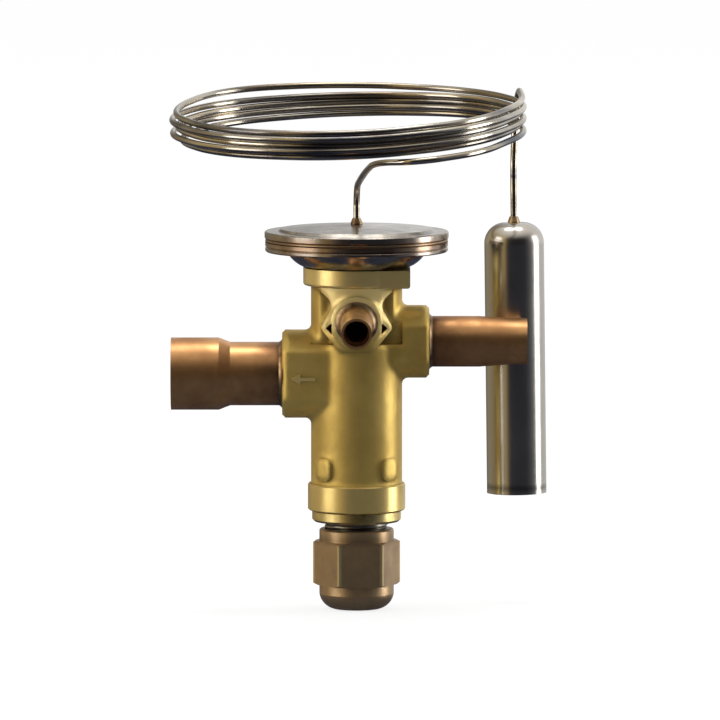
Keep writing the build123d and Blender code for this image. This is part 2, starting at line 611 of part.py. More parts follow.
# ================================================================ superheat spring and its seat
with BuildPart() as superheat_spring:
    spring_span = SPRING_CAP_Z - spring_seat_top_z
    corners = round(SPRING_TURNS * COIL_CORNERS)
    corner_r = SPRING_MEAN_R / cos(pi / COIL_CORNERS)
    spring_route = [
        (corner_r * cos(2 * pi * step / COIL_CORNERS),
         corner_r * sin(2 * pi * step / COIL_CORNERS),
         spring_seat_top_z + spring_span * step / corners)
        for step in range(corners + 1)
    ]
    bent_wire(spring_route, SPRING_WIRE_R)
    # both ends are ground flat
    with BuildSketch(Plane.XY.offset(spring_seat_top_z)):
        Circle(CHAMBER_R)
    extrude(amount=spring_span, mode=Mode.INTERSECT)
finish(superheat_spring, "superheat_spring")

with BuildPart() as spring_seat:
    with BuildSketch(Plane.XY.offset(SPRING_SEAT_Z)):
        Circle(SPRING_SEAT_R)
        Rectangle(KEYWAY_WIDTH - 2 * RUNNING_GAP, 2 * (GLAND_THREAD_R - RUNNING_GAP))
    extrude(amount=SPRING_SEAT_HEIGHT)
    revolve(spindle_ring(0, SPRING_SEAT_HUB_R, spring_seat_top_z, spring_seat_top_z + SPRING_SEAT_HUB_HEIGHT),
            axis=spindle_axis)
    spindle_bore(SPINDLE_THREAD_R + THREAD_GAP, SPRING_SEAT_Z, spring_seat_top_z + SPRING_SEAT_HUB_HEIGHT)
finish(spring_seat, "spring_seat")

# ================================================================ gland, packing and adjusting spindle
with BuildPart() as spindle_gland:
    shank_r = GLAND_THREAD_R - THREAD_GAP
    seal_top_z = body_foot_z + GLAND_SEAL_OFFSET + GLAND_SEAL_SIZE
    seal_low_z = body_foot_z + GLAND_SEAL_OFFSET
    packing_top_z = neck_end_z + PACKING_NUT_HEIGHT + PACKING_HEIGHT
    revolve(section(
        spindle_plane,
        (spindle_bore_r, packing_top_z), (PACKING_R, packing_top_z), (PACKING_R, neck_end_z),
        (GLAND_NECK_R - EDGE_BREAK, neck_end_z), (GLAND_NECK_R, neck_end_z + EDGE_BREAK),
        (GLAND_NECK_R, flange_z), (GLAND_FLANGE_R - 2 * EDGE_BREAK, flange_z),
        (GLAND_FLANGE_R, flange_z + 2 * EDGE_BREAK), (GLAND_FLANGE_R, body_foot_z - EDGE_BREAK),
        (GLAND_FLANGE_R - EDGE_BREAK, body_foot_z), (shank_r, body_foot_z), (shank_r, seal_low_z),
        (shank_r - GLAND_SEAL_SIZE, seal_low_z), (shank_r - GLAND_SEAL_SIZE, seal_top_z),
        (shank_r, seal_top_z), (shank_r, shank_top_z), (spindle_bore_r, shank_top_z)), axis=spindle_axis)
finish(spindle_gland, "spindle_gland")

with BuildPart() as gland_seal:
    revolve(spindle_ring(shank_r - GLAND_SEAL_SIZE, GLAND_THREAD_R, seal_low_z, seal_top_z), axis=spindle_axis)
finish(gland_seal, "gland_seal")

with BuildPart() as spindle_packing:
    revolve(spindle_ring(spindle_bore_r, PACKING_R, neck_end_z + PACKING_NUT_HEIGHT, packing_top_z),
            axis=spindle_axis)
finish(spindle_packing, "spindle_packing")

with BuildPart() as packing_nut:
    revolve(spindle_ring(spindle_bore_r, PACKING_R - THREAD_GAP, neck_end_z, neck_end_z + PACKING_NUT_HEIGHT),
            axis=spindle_axis)
    # slot for a two-pronged key
    with BuildSketch(Plane.XY.offset(neck_end_z)):
        Rectangle(2 * PACKING_R, PACKING_SLOT)
    extrude(amount=PACKING_SLOT, mode=Mode.SUBTRACT)
finish(packing_nut, "packing_nut")

with BuildPart() as adjusting_spindle:
    end_z = neck_end_z - SPINDLE_END_DROP
    shoulder_top_z = shank_top_z + SPINDLE_SHOULDER_HEIGHT
    thread_top_z = shoulder_top_z + SPINDLE_THREAD_LENGTH
    revolve(section(
        spindle_plane, (0, end_z), (SPINDLE_R, end_z), (SPINDLE_R, shank_top_z),
        (SPINDLE_SHOULDER_R, shank_top_z), (SPINDLE_SHOULDER_R, shoulder_top_z),
        (SPINDLE_THREAD_R, shoulder_top_z), (SPINDLE_THREAD_R, thread_top_z - EDGE_BREAK),
        (SPINDLE_THREAD_R - EDGE_BREAK, thread_top_z), (0, thread_top_z)), axis=spindle_axis)
    # square for the adjusting key
    with BuildSketch(Plane.XY.offset(end_z)):
        Circle(SPINDLE_R)
        Rectangle(SPINDLE_SQUARE, SPINDLE_SQUARE, mode=Mode.SUBTRACT)
    extrude(amount=SPINDLE_SQUARE_LENGTH, mode=Mode.SUBTRACT)
finish(adjusting_spindle, "adjusting_spindle")

# ================================================================ cap nut and its gasket
with BuildPart() as cap_gasket:
    revolve(spindle_ring(CAP_RECESS_R, GLAND_NECK_R - THREAD_GAP, gasket_z, neck_end_z), axis=spindle_axis)
finish(cap_gasket, "cap_gasket")

with BuildPart() as cap_nut:
    thread_r = GLAND_NECK_R + THREAD_GAP
    with BuildSketch(spindle_plane) as cap_section:
        with BuildLine():
            Polyline((0, cap_foot_z), (CAP_NOSE_R, cap_foot_z))
            RadiusArc((CAP_NOSE_R, cap_foot_z), (CAP_ROUND_R, nose_top_z), -(CAP_NOSE_HEIGHT + CAP_NOSE_BULGE))
            Polyline((CAP_ROUND_R, nose_top_z), (CAP_ROUND_R, cap_top_z - EDGE_BREAK),
                     (CAP_ROUND_R - EDGE_BREAK, cap_top_z), (0, cap_top_z), (0, cap_foot_z))
        make_face()
    revolve(cap_section.sketch, axis=spindle_axis)
    with BuildPart(mode=Mode.PRIVATE) as hexagon:
        with BuildSketch(Plane.XY.offset(hex_foot_z)):
            RegularPolygon(CAP_HEX_AF / 2, 6, major_radius=False, rotation=CAP_HEX_TURN - 90)
        extrude(amount=CAP_HEX_HEIGHT)
        # corners turned off at both ends
        corner_r = CAP_HEX_AF / 2 / cos(pi / 6)
        revolve(section(
            spindle_plane, (0, hex_foot_z), (corner_r - CAP_HEX_CHAMFER, hex_foot_z),
            (corner_r, hex_foot_z + CAP_HEX_CHAMFER / 2), (corner_r, hex_top_z - CAP_HEX_CHAMFER / 2),
            (corner_r - CAP_HEX_CHAMFER, hex_top_z), (0, hex_top_z)),
            axis=spindle_axis, mode=Mode.INTERSECT)
    add(hexagon.part)
    spindle_bore(thread_r, gasket_z, cap_top_z)
    spindle_bore(CAP_RECESS_R, gasket_z - CAP_RECESS_DEPTH, gasket_z)
finish(cap_nut, "cap_nut")

# ================================================================ power head
with BuildPart() as lower_cover:
    ring_top_z = body_top_z + HEAD_WALL
    groove_z = bowl_top_z + LOWER_RIM_HEIGHT / 2
    with BuildSketch(spindle_plane) as cover_section:
        with BuildLine():
            Polyline((SPIGOT_R + THREAD_GAP, body_top_z), (BOWL_FOOT_R, body_top_z), (BOWL_RISE_R, body_top_z + EDGE_BREAK))
            RadiusArc((BOWL_RISE_R, body_top_z + EDGE_BREAK), (BOWL_TOP_R, bowl_top_z), -2 * BOWL_HEIGHT)
            Polyline((BOWL_TOP_R, bowl_top_z), (LOWER_RIM_R - LOWER_RIM_GROOVE, bowl_top_z),
                     (LOWER_RIM_R, bowl_top_z + LOWER_RIM_GROOVE), (LOWER_RIM_R, groove_z - LOWER_RIM_GROOVE),
                     (LOWER_RIM_R - LOWER_RIM_GROOVE, groove_z), (LOWER_RIM_R, groove_z + LOWER_RIM_GROOVE),
                     (LOWER_RIM_R, diaphragm_z), (HEAD_CAVITY_R, diaphragm_z),
                     (BOWL_TOP_R - HEAD_WALL, bowl_top_z), (BOWL_RISE_R - HEAD_WALL / 2, ring_top_z),
                     (SPIGOT_R + THREAD_GAP, ring_top_z), (SPIGOT_R + THREAD_GAP, body_top_z))
        make_face()
    revolve(cover_section.sketch, axis=spindle_axis)
finish(lower_cover, "lower_cover")

with BuildPart() as diaphragm:
    # flat centre on the thrust plate, concentric waves, flat clamped edge
    wave_start = THRUST_PLATE_R + RUNNING_GAP
    wave_length = (HEAD_CAVITY_R - wave_start) / DIAPHRAGM_WAVES
    crest = []
    for wave in range(DIAPHRAGM_WAVES):
        left = wave_start + wave * wave_length
        crest += [(left, 0), (left + wave_length / 2, DIAPHRAGM_WAVE_HEIGHT)]
    crest.append((HEAD_CAVITY_R, 0))
    low_side = [(0, diaphragm_z)] + [(r, diaphragm_z + rise) for r, rise in crest] + [(DIAPHRAGM_R, diaphragm_z)]
    high_side = [(r, z + DIAPHRAGM_THICKNESS) for r, z in reversed(low_side)]
    revolve(section(spindle_plane, *low_side, *high_side), axis=spindle_axis)
finish(diaphragm, "diaphragm")

with BuildPart() as rim_weld:
    with BuildSketch(spindle_plane) as weld_section:
        with BuildLine():
            Polyline((LOWER_RIM_R - WELD_BULGE, diaphragm_z), (DIAPHRAGM_R, diaphragm_z),
                     (DIAPHRAGM_R, upper_rim_z), (LOWER_RIM_R - WELD_BULGE, upper_rim_z))
            ThreePointArc((LOWER_RIM_R - WELD_BULGE, upper_rim_z), (LOWER_RIM_R, (diaphragm_z + upper_rim_z) / 2),
                          (LOWER_RIM_R - WELD_BULGE, diaphragm_z))
        make_face()
    revolve(weld_section.sketch, axis=spindle_axis)
finish(rim_weld, "rim_weld")

with BuildPart() as upper_cover:
    cavity_z = diaphragm_top_z + DIAPHRAGM_WAVE_HEIGHT + HEAD_WALL / 2
    revolve(section(
        spindle_plane,
        (CAPILLARY_R, crown_z - HEAD_WALL), (CAPILLARY_R, crown_z), (STEP_R - STEP_HEIGHT, rim_top_z + STEP_HEIGHT),
        (STEP_R, rim_top_z), (RIM_R - EDGE_BREAK, rim_top_z), (RIM_R, rim_top_z - EDGE_BREAK),
        (RIM_R, upper_rim_z + EDGE_BREAK), (RIM_R - EDGE_BREAK, upper_rim_z), (DIAPHRAGM_R, upper_rim_z),
        (DIAPHRAGM_R, diaphragm_top_z), (HEAD_CAVITY_R, diaphragm_top_z), (HEAD_CAVITY_R - HEAD_WALL, cavity_z)),
        axis=spindle_axis)
finish(upper_cover, "upper_cover")

# ================================================================ sensing bulb
lean = radians(BULB_LEAN)
bulb_down = Vector(sin(lean), 0, -cos(lean))
bulb_top = Vector(bulb_x, BULB_Y, bulb_top_z)
bulb_plane = Plane(origin=bulb_top, x_dir=(cos(lean), 0, sin(lean)), z_dir=(0, -1, 0))
bulb_axis = Axis(bulb_top, bulb_down)

with BuildPart() as bulb_shell:
    with BuildSketch(bulb_plane) as bulb_outer:
        with Locations((BULB_R / 2, -BULB_LENGTH / 2)):
            Rectangle(BULB_R, BULB_LENGTH)
        corners = bulb_outer.vertices().group_by(Axis.X)[-1].sort_by(Axis.Y)
        fillet(corners[-1], BULB_DOME)
        fillet(corners[0], BULB_FOOT_ROUND)
    revolve(bulb_outer.sketch, axis=bulb_axis)
    with BuildSketch(bulb_plane) as bulb_inner:
        with Locations((0, -BULB_WALL)):
            Rectangle(BULB_R - BULB_WALL, BULB_LENGTH, align=(Align.MIN, Align.MAX))
        fillet(bulb_inner.vertices().group_by(Axis.X)[-1].sort_by(Axis.Y)[-1], BULB_DOME - BULB_WALL)
    revolve(bulb_inner.sketch, axis=bulb_axis, mode=Mode.SUBTRACT)
    bore_face = Plane(origin=bulb_top, z_dir=bulb_down)
    with BuildSketch(bore_face):
        Circle(CAPILLARY_R)
    extrude(amount=BULB_WALL, mode=Mode.SUBTRACT)
finish(bulb_shell, "bulb_shell")

with BuildPart() as bulb_end_cap:
    inner_r = BULB_R - BULB_WALL
    revolve(section(
        bulb_plane, (0, -BULB_LENGTH), (inner_r, -BULB_LENGTH), (inner_r, BULB_END_THICKNESS - BULB_LENGTH),
        (0, BULB_END_THICKNESS - BULB_LENGTH)), axis=bulb_axis)
finish(bulb_end_cap, "bulb_end_cap")

# ================================================================ capillary tube
def coil_point(turned):
    """Centre line of the coil at an angle in degrees, counted on over all the turns."""
    angle = radians(turned)
    turn = turned / 360
    at_left = ((1 - cos(angle)) / 2) ** 2
    far_left = at_left ** 2
    behind = (1 + sin(angle)) / 2
    last = min(int(turn), COIL_TURNS - 1)
    mean_r = COIL_R + COIL_NEST * cos((angle + radians(180 - COIL_CROSSING)) / 2) + COIL_LEFT_REACH[last] * far_left
    z = COIL_Z + (COIL_PITCH + COIL_FAN * at_left * behind) * (turn - COIL_TURNS / 2)
    z += COIL_TILT_FRONT * sin(angle) + COIL_TILT_SIDE * cos(angle) + COIL_SADDLE * cos(2 * angle)
    z -= COIL_FIRST_DROP * max(0, 1 - (turned - LEAD_JOINS_AT) / 180)
    if last == COIL_TURNS - 1:
        z += COIL_LOOSE_LIFT * max(0, sin(angle)) ** 2 * at_left
    corner_share = cos(pi / COIL_CORNERS)
    return (COIL_CENTRE_X + mean_r / corner_share * cos(angle), mean_r / corner_share * sin(angle), z)


coil_step = 360 / COIL_CORNERS
coil_corners = [coil_point(COIL_START + coil_step * step) for step in
                range(int((360 * COIL_TURNS - COIL_START) / coil_step) + 1)]
# the last turn leaves before the coil's right end
coil_end = Vector(*coil_corners[-1])
coil_corners[-1] = tuple(Vector(*coil_corners[-2]) + (coil_end - Vector(*coil_corners[-2])) * COIL_EXIT_SHARE)
coil_start = coil_point(LEAD_JOINS_AT)
stub_top_z = crown_z + LEAD_RISE
head_lead = [(0, 0, crown_z - HEAD_WALL), (0, 0, stub_top_z)]
head_lead += [(x, y, stub_top_z + climbed * (coil_start[2] - stub_top_z)) for x, y, climbed in HEAD_LEAD]
head_lead.append(coil_start)
lead_z = coil_end.Z + BULB_LEAD_LIFT
bulb_lead = [
    (bulb_x + BULB_LEAD_OUT, BULB_Y + BULB_LEAD_BACK, lead_z),
    tuple(bulb_top - bulb_down * (lead_z - bulb_top_z) / 2),
    tuple(bulb_top + bulb_down * BULB_WALL),
]
capillary_route = head_lead + coil_corners + bulb_lead
with BuildPart() as capillary_tube:
    capillary_path = bent_wire(capillary_route, CAPILLARY_R)
print("capillary", round(capillary_path.length, 1), "mm long; volume over section times length",
      round(capillary_tube.part.volume / (pi * CAPILLARY_R ** 2 * capillary_path.length), 4))
print("capillary bends, mm:", [round(radius, 1) for radius in arc_radii(capillary_route)])
finish(capillary_tube, "capillary_tube")

for name, plane, axis, reach in (
    ("capillary_ferrule", spindle_plane, spindle_axis, crown_z),
    ("bulb_ferrule", bulb_plane, bulb_axis, 0),
):
    with BuildPart() as ferrule:
        revolve(section(plane, (CAPILLARY_R, reach), (FERRULE_BASE_R, reach), (FERRULE_BASE_R, reach + EDGE_BREAK),
                        (FERRULE_TOP_R, reach + FERRULE_HEIGHT), (CAPILLARY_R, reach + FERRULE_HEIGHT)), axis=axis)
    finish(ferrule, name)
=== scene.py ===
"""Looks of a thermostatic expansion valve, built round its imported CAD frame.

Everything is in metres in the row frame: the origin is the mouth of the outlet socket, +X runs
towards the inlet and +Z up the spindle towards the power head.
"""

from math import cos, pi, radians, sin

import bmesh
import bpy
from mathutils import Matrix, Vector


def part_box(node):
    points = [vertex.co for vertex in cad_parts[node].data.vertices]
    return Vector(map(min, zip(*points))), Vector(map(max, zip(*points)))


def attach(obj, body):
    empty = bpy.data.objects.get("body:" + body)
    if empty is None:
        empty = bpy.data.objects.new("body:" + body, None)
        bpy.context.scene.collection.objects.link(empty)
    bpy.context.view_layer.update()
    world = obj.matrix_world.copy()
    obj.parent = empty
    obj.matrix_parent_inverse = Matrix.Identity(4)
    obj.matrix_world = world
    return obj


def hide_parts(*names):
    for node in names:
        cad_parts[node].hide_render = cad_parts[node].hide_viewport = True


bl_info = {
    "name": "Expansion valve looks",
    "version": (1, 0, 0),
    "blender": (4, 5, 0),
    "location": "3D View > Sidebar > Valve",
    "description": "Finishes the pieces of a thermostatic expansion valve",
    "category": "Object",
}

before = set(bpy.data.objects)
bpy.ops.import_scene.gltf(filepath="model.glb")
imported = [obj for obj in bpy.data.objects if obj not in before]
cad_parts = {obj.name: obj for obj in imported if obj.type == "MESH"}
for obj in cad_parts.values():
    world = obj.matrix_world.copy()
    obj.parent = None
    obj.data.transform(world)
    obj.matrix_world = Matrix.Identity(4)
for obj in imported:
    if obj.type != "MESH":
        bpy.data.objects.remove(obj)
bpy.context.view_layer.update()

MM = 0.001

# CAD boxes that the pieces and finishes are placed by
GASKET_LOW, GASKET_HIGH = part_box("cap_gasket")
SPINDLE_X = ((GASKET_LOW + GASKET_HIGH) / 2).x
CAP_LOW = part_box("cap_nut")[0]
GLAND_LOW, GLAND_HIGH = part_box("spindle_gland")

# where the forging changes its finish, measured from the spindle and the outlet's axis
BARREL_R = 12.0 * MM
TOP_COLLAR_Z, LOWER_COLLAR_Z = 22.2 * MM, -27.4 * MM
WEB_HALF, WEB_FACE_Y, WEB_TOP_Z = 10.3 * MM, -9.55 * MM, 22.3 * MM
ARROW_X, ARROW_Z, ARROW_ZONE_X, ARROW_ZONE_Z = -13.3 * MM, -0.6 * MM, 3.75 * MM, 2.15 * MM
BOSS_FLAT_Y = -9.2 * MM
EDGE_ROUNDING = 2.4 * MM
CREVICE_REACH = 4.0 * MM

# where the other metals change theirs
BOSS_MOUTH, PORT_SIDE, INLET_SIDE = 18.0 * MM, 9.5 * MM, 10.5 * MM
INLET_Z = 8.1 * MM
HEAD_RIM_R, HEAD_RIM_Z = 22.1 * MM, 33.2 * MM
BULB_FOOT_Z = -29.8 * MM
NECK_LENGTH = 14.0 * MM
THREAD_ROOT_R = 7.725 * MM
HEX_CORNER_R, HEX_CORNER_Z = 10.7 * MM, -53.25 * MM
CAP_GRIME_RISE = 17.7 * MM

# dirt, soot and braze, and the painted shade seen through the strainer's weave, which no setting changes, and
# the shape of one weld ripple
THREAD_CLEAN, THREAD_DULL, THREAD_DIRT = (0.42, 0.39, 0.33), (0.27, 0.25, 0.21), (0.07, 0.06, 0.045)
CAP_GRIME, BRAZE_SOOT, BULB_DIRT = (0.10, 0.065, 0.03), (0.05, 0.03, 0.022), (0.06, 0.05, 0.04)
BRAZE_PALE, BRAZE_DARK = (0.50, 0.36, 0.20), (0.17, 0.10, 0.06)
WELD_BROWN, MESH_HOLE_SHADE = (0.30, 0.24, 0.17), (0.20, 0.19, 0.17)
RIPPLE_SHAPE = (0.55, 1.2, 0.8)

# room that the metal mirrors: (azimuth in degrees, colour), from the front towards +X
ROOM = (
    (-179.9, (0.6, 0.6, 0.6)), (-160.0, (0.22, 0.20, 0.16)), (-130.0, (0.52, 0.44, 0.28)),
    (-95.0, (0.46, 0.37, 0.20)), (-52.0, (0.60, 0.47, 0.24)), (-49.0, (0.10, 0.08, 0.05)),
    (-46.0, (0.80, 0.62, 0.27)), (-38.0, (0.62, 0.46, 0.19)), (-30.0, (0.10, 0.08, 0.05)),
    (-24.0, (0.015, 0.015, 0.015)), (42.0, (0.010, 0.010, 0.012)), (60.0, (0.09, 0.09, 0.10)),
    (85.0, (0.34, 0.34, 0.34)), (115.0, (0.90, 0.90, 0.90)), (179.9, (0.9, 0.9, 0.9)),
)
ROOM_TOP, ROOM_FOOT = (0.95, 0.93, 0.88), (0.055, 0.065, 0.10)
SKY = 0.85
AIM = (0.04725, 0.0, 0.0034)
CAMERA_DISTANCE, CAMERA_ELEVATION = 2.3, 5.4
LAMP_DISTANCE = 1.6
LAMPS = (
    ("right_box", 95.0, 5.0, 0.55, 1.4, 12.5),
    ("left_box", -69.0, 12.0, 0.85, 1.2, 7.8),
    ("top_box", 180.0, 83.0, 1.0, 0.5, 8.5),
)


# ------------------------------------------------------------------ small tools
def add_node(tree, kind, inputs=None, **settings):
    """New node with its settings and inputs; an input that is a socket is linked."""
    node = tree.nodes.new(kind)
    for name, value in settings.items():
        setattr(node, name, value)
    for name, value in (inputs or {}).items():
        if isinstance(value, bpy.types.NodeSocket):
            tree.links.new(value, node.inputs[name])
        else:
            node.inputs[name].default_value = value
    return node


def math_node(tree, operation, first, second=0.0, clamp=False):
    """Output of a Math node on two values or sockets."""
    node = add_node(tree, "ShaderNodeMath", {0: first, 1: second}, operation=operation, use_clamp=clamp)
    return node.outputs[0]


def scaled(tree, value, share):
    """Share of a value or mask."""
    return math_node(tree, "MULTIPLY", value, share)


def mix_colours(tree, share, first, second):
    """Output of a colour mix."""
    node = add_node(tree, "ShaderNodeMix", data_type="RGBA")
    for socket, value in ((node.inputs[0], share), (node.inputs[6], first), (node.inputs[7], second)):
        if isinstance(value, bpy.types.NodeSocket):
            tree.links.new(value, socket)
        elif socket.type == "RGBA":
            socket.default_value = (*value[:3], 1.0)
        else:
            socket.default_value = value
    return node.outputs[2]


def noise(tree, place, scale, detail, distortion=0.0):
    """Height of a noise texture."""
    inputs = {"Vector": place, "Scale": scale, "Detail": detail, "Distortion": distortion}
    return add_node(tree, "ShaderNodeTexNoise", inputs).outputs[0]


def stretched(tree, place, scale):
    """Place with its axes scaled, so that marks on it run along the smallest."""
    return add_node(tree, "ShaderNodeMapping", {"Vector": place, "Scale": scale}).outputs[0]


def shifted(tree, place, shift):
    """Place moved aside, so that a second set of marks differs from the first."""
    return add_node(tree, "ShaderNodeMapping", {"Vector": place, "Location": shift}).outputs[0]


def new_group(name, inputs, outputs):
    """Empty shader node group with its sockets, and its input and output nodes."""
    tree = bpy.data.node_groups.new(name, "ShaderNodeTree")
    for label, kind, default in inputs:
        socket = tree.interface.new_socket(label, in_out="INPUT", socket_type=kind)
        if default is not None:
            socket.default_value = default
    for label, kind in outputs:
        tree.interface.new_socket(label, in_out="OUTPUT", socket_type=kind)
    return tree, tree.nodes.new("NodeGroupInput").outputs, tree.nodes.new("NodeGroupOutput").inputs


def place_group(tree, group, inputs):
    """A built group placed in a material, with this material's values."""
    node = tree.nodes.new("ShaderNodeGroup")
    node.node_tree = group
    for name, value in inputs.items():
        if isinstance(value, bpy.types.NodeSocket):
            tree.links.new(value, node.inputs[name])
        else:
            node.inputs[name].default_value = value
    return node.outputs


def new_material(name):
    """Material with a Principled shader, and its object coordinates centred on the spindle."""
    material = bpy.data.materials.new(name)
    material.use_nodes = True
    tree = material.node_tree
    shader = tree.nodes["Principled BSDF"]
    place = add_node(tree, "ShaderNodeTexCoord").outputs["Object"]
    centred = shifted(tree, place, (-SPINDLE_X, 0, 0))
    return material, tree, shader, centred


def wire(tree, shader, **inputs):
    """Set or link the shader's inputs; underscores stand for spaces."""
    for name, value in inputs.items():
        socket = shader.inputs[name.replace("_", " ")]
        if isinstance(value, bpy.types.NodeSocket):
            tree.links.new(value, socket)
        elif socket.type == "RGBA":
            socket.default_value = (*value[:3], 1.0)
        else:
            socket.default_value = value


def bumped(tree, height, distance, strength=1.0, normal=None):
    """Normal of a Bump node."""
    inputs = {"Height": height, "Distance": distance, "Strength": strength}
    if normal is not None:
        inputs["Normal"] = normal
    return add_node(tree, "ShaderNodeBump", inputs).outputs["Normal"]


def softened(tree, share, radius):
    """Normal that rounds the edges over by a radius, where the share is one."""
    plain = add_node(tree, "ShaderNodeNewGeometry").outputs["Normal"]
    rounded = add_node(tree, "ShaderNodeBevel", {"Radius": radius}, samples=8).outputs["Normal"]
    blend = add_node(tree, "ShaderNodeMix", None, data_type="VECTOR")
    tree.links.new(share, blend.inputs[0])
    tree.links.new(plain, blend.inputs[4])
    tree.links.new(rounded, blend.inputs[5])
    return add_node(tree, "ShaderNodeVectorMath", {0: blend.outputs[1]}, operation="NORMALIZE").outputs[0]


def clothe(material, *nodes):
    """Give CAD nodes a material."""
    for name in nodes:
        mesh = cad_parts[name].data
        mesh.materials.clear()
        mesh.materials.append(material)


def mesh_piece(name, bm, body, material):
    """Finished mesh piece at the origin, riding on a body."""
    bmesh.ops.remove_doubles(bm, verts=bm.verts, dist=1e-7)
    bmesh.ops.recalc_face_normals(bm, faces=bm.faces)
    mesh = bpy.data.meshes.new(name)
    bm.to_mesh(mesh)
    bm.free()
    mesh.materials.append(material)
    for polygon in mesh.polygons:
        polygon.use_smooth = True
    mesh.set_sharp_from_angle(angle=radians(40))
    piece = bpy.data.objects.new(name, mesh)
    bpy.context.scene.collection.objects.link(piece)
    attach(piece, body)
    return piece


def lathe(bm, outline, sides, pitch, depth):
    """Turn a closed outline of (radius, height, threaded) points about the spindle, cutting the thread."""
    rings = []
    for step in range(sides):
        turn = 2 * pi * step / sides
        ring = []
        for r, z, threaded in outline:
            phase = (z / pitch - step / sides) % 1.0
            r -= depth * threaded * max(0.0, min(1.0, 1.25 - 3.4 * abs(phase - 0.5)))
            ring.append(bm.verts.new((SPINDLE_X + r * cos(turn), r * sin(turn), z)))
        rings.append(ring)
    for here, after in zip(rings, rings[1:] + rings[:1]):
        for point in range(len(outline)):
            follow = (point + 1) % len(outline)
            bm.faces.new((here[point], after[point], after[follow], here[follow]))


def grown_mesh(name, tree, inputs):
    """Plain mesh that a geometry tree makes, with its modifier taken off again."""
    mesh = bpy.data.meshes.new(name + ".seed")
    holder = bpy.data.objects.new(name + ".holder", mesh)
    bpy.context.scene.collection.objects.link(holder)
    modifier = holder.modifiers.new("grow", "NODES")
    modifier.node_group = tree
    sockets = {item.name: item.identifier for item in tree.interface.items_tree if item.in_out == "INPUT"}
    for label, value in inputs.items():
        modifier[sockets[label]] = value
    depsgraph = bpy.context.evaluated_depsgraph_get()
    grown = bpy.data.meshes.new_from_object(holder.evaluated_get(depsgraph))
    holder.modifiers.remove(modifier)
    bpy.data.objects.remove(holder)
    grown.name = name
    piece = bpy.data.objects.new(name, grown)
    bpy.context.scene.collection.objects.link(piece)
    return piece


def new_geometry_tree(name, inputs):
    """Empty geometry tree with named inputs, and its input and output nodes."""
    tree = bpy.data.node_groups.new(name, "GeometryNodeTree")
    for label, kind, default in (("Geometry", "NodeSocketGeometry", None), *inputs):
        socket = tree.interface.new_socket(label, in_out="INPUT", socket_type=kind)
        if default is not None:
            socket.default_value = default
    tree.interface.new_socket("Geometry", in_out="OUTPUT", socket_type="NodeSocketGeometry")
    return tree, tree.nodes.new("NodeGroupInput").outputs, tree.nodes.new("NodeGroupOutput").inputs[0]


def end_tree(tree, geometry, material_socket, out):
    """Close a geometry tree: realize, set the material and hand over."""
    realized = add_node(tree, "GeometryNodeRealizeInstances", {"Geometry": geometry}).outputs[0]
    dressed = add_node(tree, "GeometryNodeSetMaterial", {"Geometry": realized, "Material": material_socket})
    tree.links.new(dressed.outputs[0], out)


# ------------------------------------------------------------------ shared shader groups
def mottle_group():
    """Slow uneven patches, 0 to 1, for tarnish and colour drift."""
    if "mottle" in bpy.data.node_groups:
        return bpy.data.node_groups["mottle"]
    tree, given, out = new_group(
        "mottle",
        [("Place", "NodeSocketVector", None), ("Scale", "NodeSocketFloat", 120.0),
         ("Contrast", "NodeSocketFloat", 1.6)],
        [("Mask", "NodeSocketFloat")],
    )
    cloud = noise(tree, given["Place"], given["Scale"], 5.0)
    spread = math_node(tree, "MULTIPLY", math_node(tree, "SUBTRACT", cloud, 0.5), given["Contrast"])
    tree.links.new(math_node(tree, "ADD", spread, 0.5, clamp=True), out[0])
    return tree


def grain_group():
    """Fine blasted or cast grain as a height."""
    if "grain" in bpy.data.node_groups:
        return bpy.data.node_groups["grain"]
    tree, given, out = new_group(
        "grain",
        [("Place", "NodeSocketVector", None), ("Scale", "NodeSocketFloat", 2500.0)],
        [("Height", "NodeSocketFloat")],
    )
    fine = noise(tree, given["Place"], given["Scale"], 3.0)
    coarse = noise(tree, given["Place"], scaled(tree, given["Scale"], 0.22), 2.0)
    tree.links.new(math_node(tree, "ADD", fine, coarse), out[0])
    return tree


def turning_group():
    """Fine tool lines that run round the work, from one distance along its profile."""
    if "turning lines" in bpy.data.node_groups:
        return bpy.data.node_groups["turning lines"]
    tree, given, out = new_group(
        "turning lines",
        [("Along", "NodeSocketFloat", 0.0), ("Lines per metre", "NodeSocketFloat", 5000.0)],
        [("Height", "NodeSocketFloat")],
    )
    inputs = {"W": given["Along"], "Scale": given["Lines per metre"], "Detail": 2.0}
    cloud = add_node(tree, "ShaderNodeTexNoise", inputs, noise_dimensions="1D")
    tree.links.new(cloud.outputs[0], out[0])
    return tree


def fade_group():
    """1 at a place along an axis, fading to 0 over a reach, with a ragged edge."""
    if "fade" in bpy.data.node_groups:
        return bpy.data.node_groups["fade"]
    tree, given, out = new_group(
        "fade",
        [("Place", "NodeSocketVector", None), ("Along", "NodeSocketFloat", 0.0),
         ("From", "NodeSocketFloat", 0.0), ("Reach", "NodeSocketFloat", 0.005),
         ("Ragged", "NodeSocketFloat", 0.3)],
        [("Mask", "NodeSocketFloat")],
    )
    away = math_node(tree, "ABSOLUTE", math_node(tree, "SUBTRACT", given["Along"], given["From"]))
    cloud = noise(tree, given["Place"], 380.0, 3.0)
    uneven = math_node(tree, "MULTIPLY", math_node(tree, "SUBTRACT", cloud, 0.5), given["Ragged"])
    share = math_node(tree, "ADD", math_node(tree, "DIVIDE", away, given["Reach"]), uneven)
    tree.links.new(math_node(tree, "SUBTRACT", 1.0, share, clamp=True), out[0])
    return tree


def build_groups():
    """All the shared groups, by name."""
    return {"mottle": mottle_group(), "grain": grain_group(), "turning": turning_group(),
            "fade": fade_group()}


def split(tree, vector):
    """X, Y and Z of a vector."""
    return add_node(tree, "ShaderNodeSeparateXYZ", {"Vector": vector}).outputs


